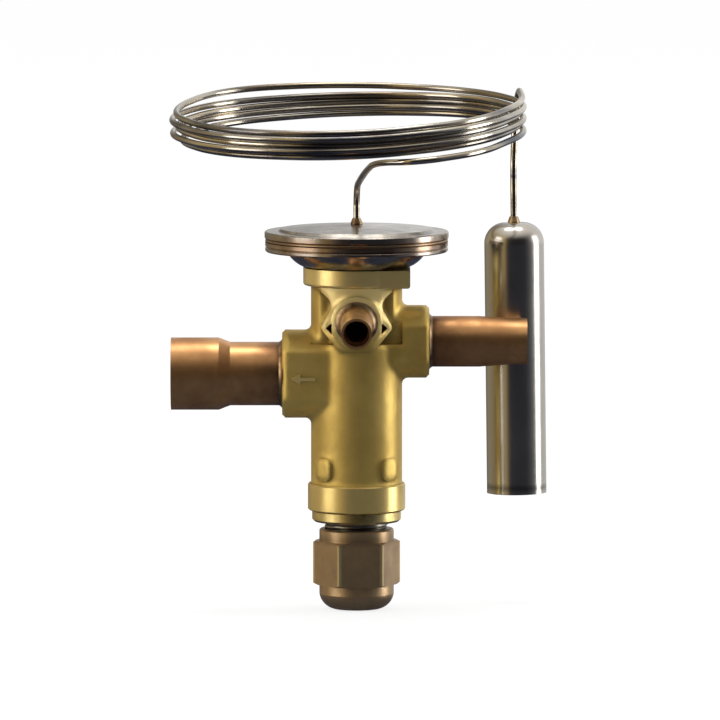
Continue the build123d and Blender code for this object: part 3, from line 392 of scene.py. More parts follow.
def axle_distance(tree, first, second):
    """Distance from an axis, from the two coordinates across it."""
    squares = [math_node(tree, "MULTIPLY", value, value) for value in (first, second)]
    return math_node(tree, "SQRT", math_node(tree, "ADD", *squares))


def step_mask(tree, value, low, high):
    """0 below low, 1 above high, straight between them."""
    node = add_node(tree, "ShaderNodeMapRange", {0: value, 1: low, 2: high, 3: 0.0, 4: 1.0}, clamp=True)
    return node.outputs[0]


def both(tree, first, second):
    """Product of two masks."""
    return math_node(tree, "MULTIPLY", first, second)


def past(tree, value, edge, blend):
    """1 past an edge and 0 before it, over a blend; a negative blend turns it round."""
    return step_mask(tree, value, edge - blend, edge + blend)


def drifting(tree, base, patches, spread):
    """Value that drifts from its base with the patches."""
    return math_node(tree, "ADD", base, scaled(tree, patches, spread))


def mottled(tree, groups, place, scale, contrast):
    """Mask of slow patches."""
    return place_group(tree, groups["mottle"], {"Place": place, "Scale": scale, "Contrast": contrast})[0]


def grained(tree, groups, place, scale):
    """Height of fine grain."""
    return place_group(tree, groups["grain"], {"Place": place, "Scale": scale})[0]


def tool_lines(tree, groups, along, per_metre):
    """Height of tool lines across a distance."""
    return place_group(tree, groups["turning"], {"Along": along, "Lines per metre": per_metre})[0]


def faded(tree, groups, place, along, start, reach, ragged=0.3):
    """Mask that fades away from a place along an axis."""
    inputs = {"Place": place, "Along": along, "From": start, "Reach": reach, "Ragged": ragged}
    return place_group(tree, groups["fade"], inputs)[0]


# ------------------------------------------------------------------ metals
def forged_brass(groups, look):
    """Satin forged brass, with its collars and web face turned smooth."""
    material, tree, shader, place = new_material("forged_brass")
    x, y, z = split(tree, place)
    radius = axle_distance(tree, x, y)
    outside = past(tree, radius, BARREL_R, 0.1 * MM)
    collar = math_node(tree, "MAXIMUM", past(tree, z, TOP_COLLAR_Z, 0.1 * MM),
                       past(tree, z, LOWER_COLLAR_Z, -0.1 * MM))
    height = both(tree, past(tree, z, 10.0 * MM, 3.0 * MM), past(tree, z, WEB_TOP_Z, -0.1 * MM))
    web = both(tree, height, past(tree, math_node(tree, "ABSOLUTE", x), WEB_HALF, -0.2 * MM))
    front = both(tree, past(tree, y, WEB_FACE_Y, -0.15 * MM), web)
    turned = both(tree, outside, math_node(tree, "MAXIMUM", collar, front))
    lathed = both(tree, outside, collar)
    forged = math_node(tree, "SUBTRACT", 1.0, turned)

    # tarnish in patches, painted shade in the front pockets beside the web and in the corners, and a painted
    # sheen on the turned web face and collars
    patches = mottled(tree, groups, place, 90.0, 2.2)
    skin = mix_colours(tree, patches, look.brass_colour, look.brass_tarnish)
    # painted shade: the recesses beside the web are darkened brown-gold, on the front side only
    hollow = both(tree, past(tree, radius, 11.1 * MM, -1.1 * MM), past(tree, z, -23.5 * MM, 3.5 * MM))
    pocket_shade = both(tree, hollow, past(tree, y, -5.4 * MM, -1.4 * MM))
    skin = mix_colours(tree, scaled(tree, pocket_shade, 0.35), skin, look.brass_pocket_shade)
    # painted sheen: the web face and the collars are mixed towards bright brass, the top collar more than the
    # lower one, in place of the highlights they catch
    collar_sheen = drifting(tree, 0.3, past(tree, z, 10.5 * MM, 0.5 * MM), 0.2)
    bright = math_node(tree, "ADD", scaled(tree, front, 0.5), both(tree, lathed, collar_sheen), clamp=True)
    colour = mix_colours(tree, both(tree, turned, bright), skin, look.bright_brass_and_sheen)
    # painted shade: the forging is darkened towards brown wherever ambient occlusion finds a corner
    occlusion = add_node(tree, "ShaderNodeAmbientOcclusion", {"Distance": CREVICE_REACH}, samples=8)
    crevice_shade = past(tree, occlusion.outputs["AO"], 0.55, -0.25)
    colour = mix_colours(tree, scaled(tree, crevice_shade, 0.75), colour, look.brass_crevice_shade)

    # the flow arrow keeps its edges, and its top is worn bright
    beside = math_node(tree, "ABSOLUTE", math_node(tree, "SUBTRACT", x, ARROW_X))
    level = math_node(tree, "ABSOLUTE", math_node(tree, "SUBTRACT", z, ARROW_Z))
    arrow = both(tree, past(tree, beside, ARROW_ZONE_X, -0.25 * MM),
                 past(tree, level, ARROW_ZONE_Z, -0.25 * MM))
    crisp = both(tree, arrow, past(tree, y, BOSS_FLAT_Y + 0.3 * MM, -0.1 * MM))
    worn = both(tree, arrow, past(tree, y, BOSS_FLAT_Y - 0.25 * MM, -0.05 * MM))
    colour = mix_colours(tree, scaled(tree, worn, 0.45), colour, look.bright_brass_and_sheen)

    # rounded forging, its swells and blasted grain, then the tool lines
    rounded = math_node(tree, "SUBTRACT", math_node(tree, "SUBTRACT", 1.0, lathed), crisp, clamp=True)
    swells = grained(tree, groups, place, 420.0)
    uneven = bumped(tree, swells, 0.00012, scaled(tree, forged, 0.45), softened(tree, rounded, EDGE_ROUNDING))
    blasted = bumped(tree, grained(tree, groups, place, 2600.0), 0.000022, 0.5, uneven)
    lines = tool_lines(tree, groups, z, 4200.0)
    cut = bumped(tree, lines, 0.000012, scaled(tree, turned, 0.5), blasted)
    rough = math_node(tree, "SUBTRACT", drifting(tree, 0.40, patches, 0.12), scaled(tree, turned, 0.15))
    # the web face is also made less metallic so that it reads paler, as part of its painted sheen
    metal = math_node(tree, "SUBTRACT", 0.85, scaled(tree, front, 0.2))
    wire(tree, shader, Base_Color=colour, Metallic=metal, Roughness=rough, Normal=cut)
    return material


def turned_brass(groups, look):
    """Bright turned brass."""
    material, tree, shader, place = new_material("turned_brass")
    z = split(tree, place)[2]
    patches = mottled(tree, groups, place, 200.0, 1.8)
    colour = mix_colours(tree, patches, look.bright_brass_and_sheen, look.brass_colour)
    lines = tool_lines(tree, groups, z, 5000.0)
    rough = drifting(tree, 0.26, patches, 0.1)
    skin = bumped(tree, lines, 0.000015, 0.6)
    wire(tree, shader, Base_Color=colour, Metallic=1.0, Roughness=rough, Normal=skin)
    return material


def threaded_neck(groups, look):
    """The gland: a turned flange, and a duller nickel-grey threaded neck with dirt in its roots."""
    material, tree, shader, place = new_material("threaded_neck")
    x, y, z = split(tree, place)
    radius = axle_distance(tree, x, y)
    neck = past(tree, z, GLAND_LOW.z + NECK_LENGTH, -0.1 * MM)
    patches = mottled(tree, groups, place, 350.0, 2.0)
    brass = mix_colours(tree, patches, look.bright_brass_and_sheen, look.brass_tarnish)
    dull = mix_colours(tree, patches, THREAD_CLEAN, THREAD_DULL)
    root = both(tree, neck, past(tree, radius, THREAD_ROOT_R, -0.125 * MM))
    colour = mix_colours(tree, neck, brass, dull)
    colour = mix_colours(tree, scaled(tree, root, 0.7), colour, THREAD_DIRT)
    lines = tool_lines(tree, groups, z, 5000.0)
    rough = drifting(tree, 0.3, patches, 0.14)
    skin = bumped(tree, lines, 0.000012, 0.5)
    wire(tree, shader, Base_Color=colour, Metallic=1.0, Roughness=rough, Normal=skin)
    return material


def cap_brass(groups, look):
    """Browner milled brass: flats milled across, the rest turned."""
    material, tree, shader, place = new_material("cap_brass")
    x, y, z = split(tree, place)
    radius = axle_distance(tree, x, y)
    patches = mottled(tree, groups, place, 170.0, 2.4)
    colour = mix_colours(tree, patches, look.cap_colour, look.cap_tarnish)
    worn = both(tree, past(tree, radius, HEX_CORNER_R, 0.15 * MM), past(tree, z, HEX_CORNER_Z, 0.25 * MM))
    colour = mix_colours(tree, scaled(tree, worn, 0.6), colour, look.bright_brass_and_sheen)
    grime = faded(tree, groups, place, z, CAP_LOW.z + CAP_GRIME_RISE, 1.6 * MM)
    colour = mix_colours(tree, scaled(tree, grime, 0.45), colour, CAP_GRIME)
    milled = noise(tree, stretched(tree, place, (1.0, 1.0, 0.12)), 3200.0, 2.0)
    lines = tool_lines(tree, groups, z, 4500.0)
    speckle = grained(tree, groups, place, 2200.0)
    first = bumped(tree, milled, 0.00002, 0.6, bumped(tree, speckle, 0.00004, 0.6))
    rough = drifting(tree, 0.3, patches, 0.16)
    skin = bumped(tree, lines, 0.00001, 0.4, first)
    wire(tree, shader, Base_Color=colour, Metallic=0.9, Roughness=rough, Normal=skin)
    return material


def copper(groups, look):
    """Drawn copper tube, heat-tinted near its brazed joint."""
    material, tree, shader, place = new_material("copper")
    x = split(tree, place)[0]
    patches = mottled(tree, groups, place, 130.0, 2.6)
    aged = both(tree, past(tree, x, INLET_SIDE, 0.5 * MM), drifting(tree, 0.35, patches, 0.5))
    clean = mix_colours(tree, patches, look.copper_colour, look.copper_tarnish)
    clean = mix_colours(tree, aged, clean, look.copper_tarnish)
    side = math_node(tree, "ABSOLUTE", x)
    on_ports = past(tree, side, PORT_SIDE, 0.5 * MM)
    heat = both(tree, faded(tree, groups, place, side, BOSS_MOUTH, 8.5 * MM, 0.9), on_ports)
    tinted = mix_colours(tree, scaled(tree, heat, 0.75), clean, look.copper_heat)
    edge = both(tree, faded(tree, groups, place, side, BOSS_MOUTH + 0.3 * MM, 2.0 * MM, 0.5), on_ports)
    tinted = mix_colours(tree, scaled(tree, edge, 0.7), tinted, BRAZE_SOOT)
    drawn = stretched(tree, place, (0.06, 1.0, 1.0))
    lines = noise(tree, drawn, 2400.0, 3.0)
    grain = grained(tree, groups, place, 1700.0)
    skin = bumped(tree, lines, 0.00001, 0.4, bumped(tree, grain, 0.00002, 0.35))
    rough = drifting(tree, 0.28, patches, 0.16)
    rough = drifting(tree, rough, aged, 0.10)
    wire(tree, shader, Base_Color=tinted, Metallic=0.95, Roughness=rough, Normal=skin)
    return material


def braze_alloy(groups, look):
    """Frozen braze: pale, uneven and a little rippled."""
    material, tree, shader, place = new_material("braze_alloy")
    patches = mottled(tree, groups, place, 420.0, 2.4)
    colour = mix_colours(tree, patches, BRAZE_PALE, BRAZE_DARK)
    ripple = grained(tree, groups, place, 700.0)
    skin = bumped(tree, ripple, 0.00006, 0.7)
    wire(tree, shader, Base_Color=colour, Metallic=1.0, Roughness=0.38, Normal=skin)
    return material


def stainless_cover(groups, look):
    """Pressed stainless covers: turned round the spindle, tinted by the rim's weld."""
    material, tree, shader, place = new_material("stainless_cover")
    x, y, z = split(tree, place)
    radius = axle_distance(tree, x, y)
    patches = mottled(tree, groups, place, 110.0, 1.8)
    colour = mix_colours(tree, patches, look.steel_colour, look.steel_dull)
    stains = mottled(tree, groups, shifted(tree, place, (0.4, 0.2, 0.6)), 260.0, 4.0)
    colour = mix_colours(tree, scaled(tree, stains, 0.4), colour, look.steel_stain_and_dark_reflection)
    rim = past(tree, radius, HEAD_RIM_R, 0.3 * MM)
    heat = faded(tree, groups, place, z, HEAD_RIM_Z, 2.8 * MM, 0.8)
    colour = mix_colours(tree, scaled(tree, both(tree, heat, rim), 0.75), colour, look.weld_tint)
    around_lines = tool_lines(tree, groups, radius, 3800.0)
    scuffs = noise(tree, place, 900.0, 4.0, 2.0)
    skin = bumped(tree, around_lines, 0.000014, 0.5, bumped(tree, scuffs, 0.00002, 0.25))
    rough = drifting(tree, 0.19, patches, 0.12)
    wire(tree, shader, Base_Color=colour, Metallic=1.0, Roughness=rough, Normal=skin)
    return material


def weld_bead(groups, look):
    """Rim weld, straw to brown."""
    material, tree, shader, place = new_material("weld_bead")
    patches = mottled(tree, groups, place, 260.0, 2.6)
    colour = mix_colours(tree, patches, look.weld_tint, WELD_BROWN)
    ripple = grained(tree, groups, place, 1200.0)
    skin = bumped(tree, ripple, 0.00003, 0.5)
    wire(tree, shader, Base_Color=colour, Metallic=1.0, Roughness=0.34, Normal=skin)
    return material


def stainless_tube(groups, look):
    """Drawn capillary, bright, with dark and straw lengths that are partly tarnish and heat tint and partly
    painted reflection.
    """
    material, tree, shader, place = new_material("stainless_tube")
    strand = stretched(tree, place, (1.0, 1.0, 9.0))
    patches = mottled(tree, groups, strand, 34.0, 3.2)
    tint_and_reflection = mottled(tree, groups, shifted(tree, strand, (0.3, 0.7, 0.1)), 26.0, 3.0)
    # the dark and straw lengths are partly tarnish and heat tint and partly painted reflection of the dim
    # room and the warm brass, laid in random patches
    colour = mix_colours(tree, patches, look.steel_bright, look.steel_stain_and_dark_reflection)
    colour = mix_colours(tree, scaled(tree, tint_and_reflection, 0.55), colour, look.straw_tint_and_reflection)
    grain = grained(tree, groups, place, 3500.0)
    rough = drifting(tree, 0.12, patches, 0.10)
    skin = bumped(tree, grain, 0.00001, 0.25)
    wire(tree, shader, Base_Color=colour, Metallic=1.0, Roughness=rough, Normal=skin)
    return material


def stainless_bulb(groups, look):
    """Polished bulb with fine lengthwise brushing and a dark line round its foot."""
    material, tree, shader, place = new_material("stainless_bulb")
    z = split(tree, place)[2]
    patches = mottled(tree, groups, place, 80.0, 1.6)
    colour = mix_colours(tree, patches, look.bulb_colour, look.steel_colour)
    foot = faded(tree, groups, place, z, BULB_FOOT_Z, 1.2 * MM)
    colour = mix_colours(tree, scaled(tree, foot, 0.6), colour, BULB_DIRT)
    drawn = stretched(tree, place, (1.0, 1.0, 0.03))
    lines = noise(tree, drawn, 3000.0, 3.0)
    grain = grained(tree, groups, place, 4200.0)
    skin = bumped(tree, lines, 0.000006, 0.35, bumped(tree, grain, 0.000008, 0.3))
    rough = drifting(tree, 0.18, patches, 0.10)
    wire(tree, shader, Base_Color=colour, Metallic=1.0, Roughness=rough, Normal=skin)
    return material


def strainer_mesh(groups, look):
    """Fine woven steel."""
    material, tree, shader, place = new_material("strainer_mesh")
    x, y, z = split(tree, place)
    turn = math_node(tree, "ARCTAN2", math_node(tree, "SUBTRACT", z, INLET_Z), y)
    along = math_node(tree, "SINE", scaled(tree, x, 14000.0))
    across = math_node(tree, "SINE", scaled(tree, turn, 66.0))
    weave = math_node(tree, "MULTIPLY", math_node(tree, "ADD", both(tree, along, across), 1.0), 0.5)
    # painted shade: the gaps of the weave are coloured dark for the shade seen through them
    colour = mix_colours(tree, weave, MESH_HOLE_SHADE, look.steel_colour)
    skin = bumped(tree, weave, 0.00006, 0.8)
    wire(tree, shader, Base_Color=colour, Metallic=1.0, Roughness=0.35, Normal=skin)
    return material


def inner_metal(groups, name, clean, worn, rough):
    """Plain machined metal of an inner piece, with tool lines."""
    material, tree, shader, place = new_material(name)
    z = split(tree, place)[2]
    patches = mottled(tree, groups, place, 240.0, 1.8)
    lines = tool_lines(tree, groups, z, 6000.0)
    wire(tree, shader, Base_Color=mix_colours(tree, patches, clean, worn), Metallic=1.0,
         Roughness=drifting(tree, rough, patches, 0.1),
         Normal=bumped(tree, lines, 0.00001, 0.4))
    return material


def seal_material(groups, name, clean, worn, rough):
    """Rubber or plastic seal with a fine moulded grain."""
    material, tree, shader, place = new_material(name)
    patches = mottled(tree, groups, place, 300.0, 1.6)
    grain = grained(tree, groups, place, 2600.0)
    wire(tree, shader, Base_Color=mix_colours(tree, patches, clean, worn), Roughness=rough,
         Normal=bumped(tree, grain, 0.00002, 0.4))
    return material


# ------------------------------------------------------------------ sizes and colours a user would change
def colour(name, description, default):
    """Setting for the colour of one metal."""
    return bpy.props.FloatVectorProperty(
        name=name, description=description, default=default, subtype="COLOR", size=3, min=0.0, max=1.0)


class ValveFinish(bpy.types.PropertyGroup):
    """Colours of the valve's metals."""

    brass_colour: colour("Brass", "Forged brass skin", (0.82, 0.59, 0.17))
    brass_tarnish: colour("Tarnished brass", "Duller patches of the forging", (0.50, 0.34, 0.085))
    # painted shade for the front pockets beside the web
    brass_pocket_shade: colour("Brass in hollows", "Brown-gold of the pockets beside the web", (0.30, 0.18, 0.045))
    # painted shade laid into the corners of the forging, not a colour of the brass
    brass_crevice_shade: colour("Brass crevices", "Browner brass in the corners of the forging",
                          (0.19, 0.105, 0.025))
    # besides turned and worn brass, this colour paints the sheen on the forging's collars and web face
    bright_brass_and_sheen: colour("Turned brass", "Collars, web face and turned pieces", (0.95, 0.78, 0.38))
    cap_colour: colour("Cap brass", "Milled brass of the cap nut", (0.52, 0.35, 0.185))
    cap_tarnish: colour("Tarnished cap", "Duller patches of the cap nut", (0.34, 0.235, 0.135))
    copper_colour: colour("Copper", "Clean drawn copper", (0.74, 0.40, 0.17))
    copper_tarnish: colour("Tarnished copper", "Browner patches of the tubes", (0.44, 0.22, 0.09))
    copper_heat: colour("Heated copper", "Purple-brown beside the brazed joints", (0.19, 0.085, 0.045))
    steel_colour: colour("Stainless", "Clean stainless steel", (0.56, 0.515, 0.455))
    steel_dull: colour("Dull stainless", "Duller patches of the steel", (0.34, 0.31, 0.27))
    steel_bright: colour("Bright capillary", "Clean drawn lengths of the capillary", (0.76, 0.71, 0.61))
    # these two are partly tarnish and heat tint and partly painted reflection on the capillary; the dark one
    # also stains the covers
    steel_stain_and_dark_reflection: colour("Dark capillary", "Blue-black lengths of the capillary", (0.10, 0.105, 0.13))
    straw_tint_and_reflection: colour("Straw capillary", "Straw-tinted lengths of the capillary", (0.42, 0.31, 0.16))
    bulb_colour: colour("Bulb", "Polished steel of the sensing bulb", (0.50, 0.48, 0.44))
    weld_tint: colour("Weld tint", "Straw to brown beside the rim's weld", (0.34, 0.19, 0.09))


class ValveSizes(bpy.types.PropertyGroup):
    """Sizes of the pieces that the looks add."""

    thread_pitch: bpy.props.FloatProperty(
        name="Thread pitch", description="Pitch of the thread on the gland's neck", default=0.0015,
        unit="LENGTH")
    thread_depth: bpy.props.FloatProperty(
        name="Thread depth", description="Depth of that thread", default=0.0006, unit="LENGTH")
    bead_count: bpy.props.IntProperty(
        name="Weld ripples", description="Ripples round the rim's weld", default=150, min=20)
    bead_size: bpy.props.FloatProperty(
        name="Ripple size", description="Radius of one weld ripple", default=0.0005, unit="LENGTH")
    arrow_length: bpy.props.FloatProperty(
        name="Arrow length", description="Length of the raised flow arrow", default=0.0066, unit="LENGTH")
    arrow_rise: bpy.props.FloatProperty(
        name="Arrow rise", description="How far the arrow stands out of the boss", default=0.0004,
        unit="LENGTH")


METALS = {}
INNER_METALS = (
    ("hard_steel", (0.48, 0.47, 0.46), (0.34, 0.33, 0.32), 0.22),
    ("spring_steel", (0.36, 0.35, 0.34), (0.22, 0.21, 0.20), 0.30),
)
SEALS = (
    ("seal_rubber", (0.018, 0.018, 0.018), (0.035, 0.034, 0.032), 0.6),
    ("seal_plastic", (0.72, 0.71, 0.67), (0.60, 0.58, 0.53), 0.45),
)


def metals(context):
    """All the materials, built once."""
    if METALS:
        return METALS
    groups = build_groups()
    look = context.scene.valve_finish
    for build in (forged_brass, turned_brass, threaded_neck, cap_brass, copper, braze_alloy, stainless_cover,
                  weld_bead, stainless_tube, stainless_bulb, strainer_mesh):
        METALS[build.__name__] = build(groups, look)
    for name, clean, worn, rough in INNER_METALS:
        METALS[name] = inner_metal(groups, name, clean, worn, rough)
    for name, clean, worn, rough in SEALS:
        METALS[name] = seal_material(groups, name, clean, worn, rough)
    return METALS


# ------------------------------------------------------------------ operators
class VALVE_OT_body(bpy.types.Operator):
    """Give the forged body and its turned inner pieces their brass"""

    bl_idname = "valve.body"
    bl_label = "Body"

    def execute(self, context):
        """Clothe the brass pieces."""
        made = metals(context)
        clothe(made["forged_brass"], "valve_body")
        clothe(made["turned_brass"], "pin_guide", "spring_cap", "packing_nut", "spring_seat")
        return {"FINISHED"}


class VALVE_OT_tubes(bpy.types.Operator):
    """Give the copper tubes, their brazes and the strainer their finish"""

    bl_idname = "valve.tubes"
    bl_label = "Tubes and brazes"

    def execute(self, context):
        """Clothe the tubes."""
        made = metals(context)
        clothe(made["copper"], "outlet_tube", "inlet_tube", "equalizer_tube")
        clothe(made["braze_alloy"], "outlet_braze", "inlet_braze", "equalizer_braze", "capillary_ferrule",
               "bulb_ferrule")
        clothe(made["strainer_mesh"], "inlet_strainer")
        return {"FINISHED"}


class VALVE_OT_head(bpy.types.Operator):
    """Give the power head, the capillary and the bulb their steel"""

    bl_idname = "valve.head"
    bl_label = "Power head and bulb"

    def execute(self, context):
        """Clothe the thermostatic element."""
        made = metals(context)
        clothe(made["stainless_cover"], "lower_cover", "upper_cover", "diaphragm")
        clothe(made["stainless_tube"], "capillary_tube")
        clothe(made["stainless_bulb"], "bulb_shell", "bulb_end_cap")
        return {"FINISHED"}


class VALVE_OT_inside(bpy.types.Operator):
    """Give the valve's inner pieces and seals their finish"""

    bl_idname = "valve.inside"
    bl_label = "Inner pieces"

    def execute(self, context):
        """Clothe the pieces inside."""
        made = metals(context)
        clothe(made["hard_steel"], "seat_insert", "thrust_plate", "push_pin", "valve_cone",
               "adjusting_spindle")
        clothe(made["spring_steel"], "superheat_spring")
        clothe(made["seal_rubber"], "pin_seal", "gland_seal")
        clothe(made["seal_plastic"], "spindle_packing", "cap_gasket")
        return {"FINISHED"}


class VALVE_OT_cap(bpy.types.Operator):
    """Give the cap nut its milled brass"""

    bl_idname = "valve.cap"
    bl_label = "Cap nut"

    def execute(self, context):
        """Clothe the cap nut."""
        clothe(metals(context)["cap_brass"], "cap_nut")
        return {"FINISHED"}


class VALVE_OT_weld(bpy.types.Operator):
    """Lay the rippled weld round the power head's rim"""

    bl_idname = "valve.weld"
    bl_label = "Rim weld"

    def execute(self, context):
        """Build the weld from one ripple set round a circle."""
        sizes = context.scene.valve_sizes
        tree, given, out = new_geometry_tree("weld ripples", (
            ("Rim radius", "NodeSocketFloat", 0.0227), ("Height", "NodeSocketFloat", 0.0335),
            ("Centre", "NodeSocketFloat", SPINDLE_X), ("Count", "NodeSocketInt", 150),
            ("Ripple", "NodeSocketFloat", 0.0005), ("Material", "NodeSocketMaterial", None)))
        circle = add_node(tree, "GeometryNodeMeshCircle",
                          {"Vertices": given["Count"], "Radius": given["Rim radius"]})
        ripple = add_node(tree, "GeometryNodeMeshIcoSphere", {"Radius": given["Ripple"], "Subdivisions": 2})
        turned = add_node(tree, "FunctionNodeAlignRotationToVector",
                          {"Vector": add_node(tree, "GeometryNodeInputPosition").outputs[0]}, axis="X")
        along = add_node(tree, "GeometryNodeInstanceOnPoints",
                         {"Points": circle.outputs[0], "Instance": ripple.outputs[0],
                          "Rotation": turned.outputs[0], "Scale": RIPPLE_SHAPE})
        offset = add_node(tree, "ShaderNodeCombineXYZ", {"X": given["Centre"], "Z": given["Height"]})
        placed = add_node(tree, "GeometryNodeTransform",
                          {"Geometry": along.outputs[0], "Translation": offset.outputs[0]})
        end_tree(tree, placed.outputs[0], given["Material"], out)
        low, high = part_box("rim_weld")
        material = metals(context)["weld_bead"]
        rim = (high.x - low.x) / 2
        ripples = grown_mesh("weld_ripples", tree, {
            "Rim radius": rim - 0.55 * sizes.bead_size, "Height": (low.z + high.z) / 2, "Centre": SPINDLE_X,
            "Count": sizes.bead_count, "Ripple": sizes.bead_size, "Material": material})
        for polygon in ripples.data.polygons:
            polygon.use_smooth = True
        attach(ripples, "valve")
        clothe(material, "rim_weld")
        return {"FINISHED"}


class VALVE_OT_gland(bpy.types.Operator):
    """Turn the gland with its threaded neck"""

    bl_idname = "valve.gland"
    bl_label = "Gland and thread"

    def execute(self, context):
        """Build the gland as one turned mesh whose neck carries a helical thread."""
        sizes = context.scene.valve_sizes
        foot, top = GLAND_LOW.z, GLAND_HIGH.z
        neck_r, flange_z, seat_z = 8.0 * MM, foot + NECK_LENGTH, foot + 16.9 * MM
        flange_r, shank_r, bore_r = (GLAND_HIGH.x - GLAND_LOW.x) / 2, 8.45 * MM, 3.1 * MM
        packing_r, packing_z = 5.4 * MM, foot + 7.0 * MM
        chamfer, groove = 0.4 * MM, 0.9 * MM
        outline = [(bore_r, packing_z, 0), (packing_r, packing_z, 0), (packing_r, foot, 0),
                   (neck_r - chamfer, foot, 0)]
        rows = int((flange_z - foot) / sizes.thread_pitch * 9)
        for row in range(1, rows):
            z = foot + chamfer + (flange_z - foot - chamfer) * row / rows
            share = min(1.0, (z - foot) / MM - 0.4, (flange_z - z) / (0.5 * MM) - 0.4)
            outline.append((neck_r, z, max(0.0, share)))
        outline += [(neck_r, flange_z, 0), (flange_r - 0.6 * MM, flange_z, 0),
                    (flange_r, flange_z + 0.6 * MM, 0),
                    (flange_r, seat_z - 0.3 * MM, 0), (flange_r - 0.3 * MM, seat_z, 0), (shank_r, seat_z, 0),
                    (shank_r, seat_z + groove, 0), (shank_r - groove, seat_z + groove, 0),
                    (shank_r - groove, seat_z + 2 * groove, 0), (shank_r, seat_z + 2 * groove, 0),
                    (shank_r, top, 0), (bore_r, top, 0)]
        bm = bmesh.new()
        lathe(bm, outline, 96, sizes.thread_pitch, sizes.thread_depth)
        gland = mesh_piece("gland", bm, "valve", metals(context)["threaded_neck"])
        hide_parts("spindle_gland")
        return {"FINISHED"}


class VALVE_OT_arrow(bpy.types.Operator):
    """Raise the plain flow arrow on the outlet boss"""

    bl_idname = "valve.arrow"
    bl_label = "Flow arrow"

    def execute(self, context):
        """Build the arrow as a shallow forged relief that points to the outlet."""
        sizes = context.scene.valve_sizes
        half, shaft, head = sizes.arrow_length / 2, 0.5 * MM, 1.5 * MM
        outline = [(-half, 0.0), (-half + 1.7 * head, head), (-half + 1.7 * head, shaft), (half, shaft),
                   (half, -shaft), (-half + 1.7 * head, -shaft), (-half + 1.7 * head, -head)]
        bm = bmesh.new()
        for y, spread in ((BOSS_FLAT_Y + 0.1 * MM, 1.0), (BOSS_FLAT_Y - sizes.arrow_rise, 0.9)):
            for x, z in outline:
                bm.verts.new((SPINDLE_X + ARROW_X + x * spread, y, ARROW_Z + z * spread))
        bm.verts.ensure_lookup_table()
        count = len(outline)
        bm.faces.new(bm.verts[:count])
        bm.faces.new(bm.verts[count:])
        for point in range(count):
            follow = (point + 1) % count
            corners = (point, follow, count + follow, count + point)
            bm.faces.new([bm.verts[corner] for corner in corners])
        arrow = mesh_piece("flow_arrow", bm, "valve", metals(context)["forged_brass"])
        return {"FINISHED"}


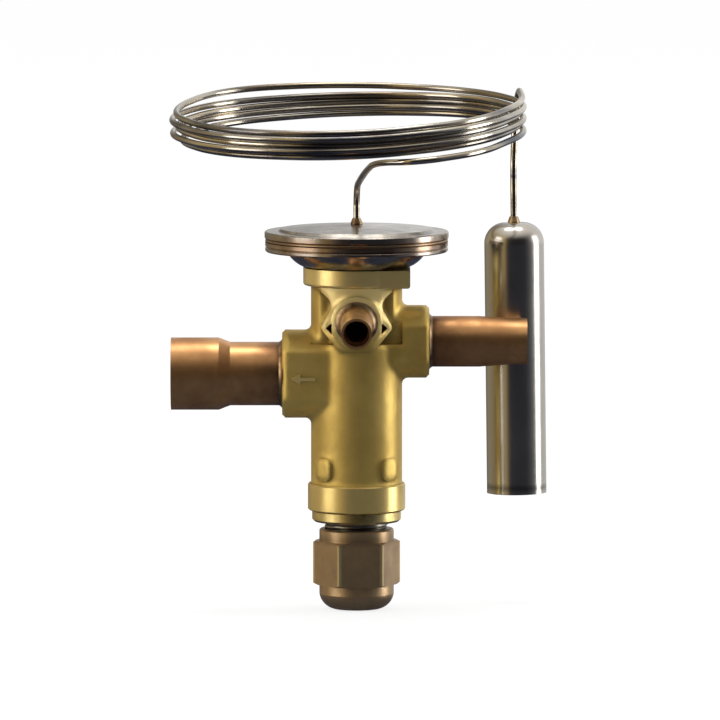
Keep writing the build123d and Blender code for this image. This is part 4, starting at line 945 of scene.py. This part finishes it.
class VALVE_OT_stage(bpy.types.Operator):
    """Set the pale floor, the soft light and the camera"""

    bl_idname = "valve.stage"
    bl_label = "Stage"

    def execute(self, context):
        """Build the floor, the world, the lamps and the camera."""
        scene = context.scene
        scene.view_settings.view_transform = "Standard"

        # white wherever the camera or a glass looks, while metal mirrors a room that is dim in front
        world = bpy.data.worlds.new("room")
        world.use_nodes = True
        scene.world = world
        tree = world.node_tree
        tree.nodes.clear()
        path = add_node(tree, "ShaderNodeLightPath").outputs
        way = split(tree, add_node(tree, "ShaderNodeTexCoord").outputs["Generated"])
        turn = math_node(tree, "ARCTAN2", way[0], scaled(tree, way[1], -1.0))
        share = math_node(tree, "ADD", math_node(tree, "DIVIDE", turn, 2 * pi), 0.5)
        round_room = add_node(tree, "ShaderNodeValToRGB", {0: share})
        ramp = round_room.color_ramp
        for azimuth, colour in ROOM:
            stop = ramp.elements.new((azimuth + 180.0) / 360.0)
            stop.color = (*colour, 1.0)
        ramp.elements.remove(ramp.elements[0])
        ramp.elements.remove(ramp.elements[-1])
        walls = mix_colours(tree, step_mask(tree, way[2], 0.55, 0.90), round_room.outputs[0], ROOM_TOP)
        walls = mix_colours(tree, step_mask(tree, way[2], -0.03, -0.30), walls, ROOM_FOOT)
        seen = math_node(tree, "MAXIMUM", path["Is Camera Ray"], path["Is Transmission Ray"])
        lit = mix_colours(tree, path["Is Glossy Ray"], (SKY, SKY, SKY), walls)
        shown = mix_colours(tree, seen, lit, (1, 1, 1))
        sky = add_node(tree, "ShaderNodeBackground", {"Color": shown, "Strength": 1.0})
        out = tree.nodes.new("ShaderNodeOutputWorld")
        tree.links.new(sky.outputs[0], out.inputs[0])

        # white paper floor that takes the shadow and that metal does not mirror
        bpy.ops.mesh.primitive_plane_add(size=12.0, location=(0, 0, CAP_LOW.z - 0.0002))
        floor = context.object
        floor.name = "floor"
        paper = bpy.data.materials.new("paper")
        paper.use_nodes = True
        tree = paper.node_tree
        tree.nodes.clear()
        path = add_node(tree, "ShaderNodeLightPath").outputs
        seen = math_node(tree, "MAXIMUM", path["Is Camera Ray"],
                         math_node(tree, "MAXIMUM", path["Is Glossy Ray"], path["Is Transmission Ray"]))
        matt = add_node(tree, "ShaderNodeBsdfDiffuse", {"Color": (0.95, 0.95, 0.95, 1)})
        glow = add_node(tree, "ShaderNodeEmission", {"Color": (1, 1, 1, 1), "Strength": 1.03})
        mixed = tree.nodes.new("ShaderNodeMixShader")
        tree.links.new(scaled(tree, seen, 0.8), mixed.inputs[0])
        tree.links.new(matt.outputs[0], mixed.inputs[1])
        tree.links.new(glow.outputs[0], mixed.inputs[2])
        out = tree.nodes.new("ShaderNodeOutputMaterial")
        tree.links.new(mixed.outputs[0], out.inputs[0])
        floor.data.materials.append(paper)
        floor.visible_glossy = False

        # soft boxes: a strong one on the right, one on the left and one behind and above
        for name, azimuth, elevation, width, height, power in LAMPS:
            lamp = bpy.data.lights.new(name, "AREA")
            lamp.shape = "RECTANGLE"
            lamp.size, lamp.size_y, lamp.energy = width, height, power
            holder = bpy.data.objects.new(name, lamp)
            turn, lift = radians(azimuth), radians(elevation)
            away = Vector((sin(turn) * cos(lift), -cos(turn) * cos(lift), sin(lift)))
            holder.location = Vector(AIM) + away * LAMP_DISTANCE
            holder.rotation_euler = away.to_track_quat("Z", "Y").to_euler()
            scene.collection.objects.link(holder)

        lens = bpy.data.cameras.new("camera")
        lens.lens, lens.sensor_width = CAMERA_DISTANCE * 200.0, 36.0
        lens.clip_start, lens.clip_end = 0.05, 50.0
        camera = bpy.data.objects.new("camera", lens)
        lift = radians(CAMERA_ELEVATION)
        back = Vector((0, -cos(lift), sin(lift)))
        camera.location = Vector(AIM) + back * CAMERA_DISTANCE
        camera.rotation_euler = back.to_track_quat("Z", "Y").to_euler()
        scene.collection.objects.link(camera)
        scene.camera = camera
        return {"FINISHED"}


class VALVE_PT_panel(bpy.types.Panel):
    """Lists the valve's pieces and finishes"""

    bl_idname = "VALVE_PT_panel"
    bl_label = "Expansion valve"
    bl_space_type = "VIEW_3D"
    bl_region_type = "UI"
    bl_category = "Valve"

    def draw(self, context):
        """Show the settings, then a button for each piece."""
        layout = self.layout
        for group in (context.scene.valve_finish, context.scene.valve_sizes):
            box = layout.box()
            for name in group.bl_rna.properties.keys():
                if name not in ("rna_type", "name"):
                    box.prop(group, name)
        for operator in OPERATORS:
            layout.operator(operator.bl_idname)


OPERATORS = (VALVE_OT_body, VALVE_OT_tubes, VALVE_OT_head, VALVE_OT_weld, VALVE_OT_gland, VALVE_OT_cap,
             VALVE_OT_inside, VALVE_OT_arrow, VALVE_OT_stage)


def register():
    """Add the classes and the scene's settings."""
    for item in (ValveFinish, ValveSizes, *OPERATORS, VALVE_PT_panel):
        bpy.utils.register_class(item)
    bpy.types.Scene.valve_finish = bpy.props.PointerProperty(type=ValveFinish)
    bpy.types.Scene.valve_sizes = bpy.props.PointerProperty(type=ValveSizes)


def unregister():
    """Take them away again, with the materials that were remembered."""
    METALS.clear()
    del bpy.types.Scene.valve_sizes
    del bpy.types.Scene.valve_finish
    for item in reversed((ValveFinish, ValveSizes, *OPERATORS, VALVE_PT_panel)):
        bpy.utils.unregister_class(item)


def main():
    """Build everything in order."""
    register()
    for operator in OPERATORS:
        section, name = operator.bl_idname.split(".")
        getattr(getattr(bpy.ops, section), name)()


if __name__ == "__main__":
    main()
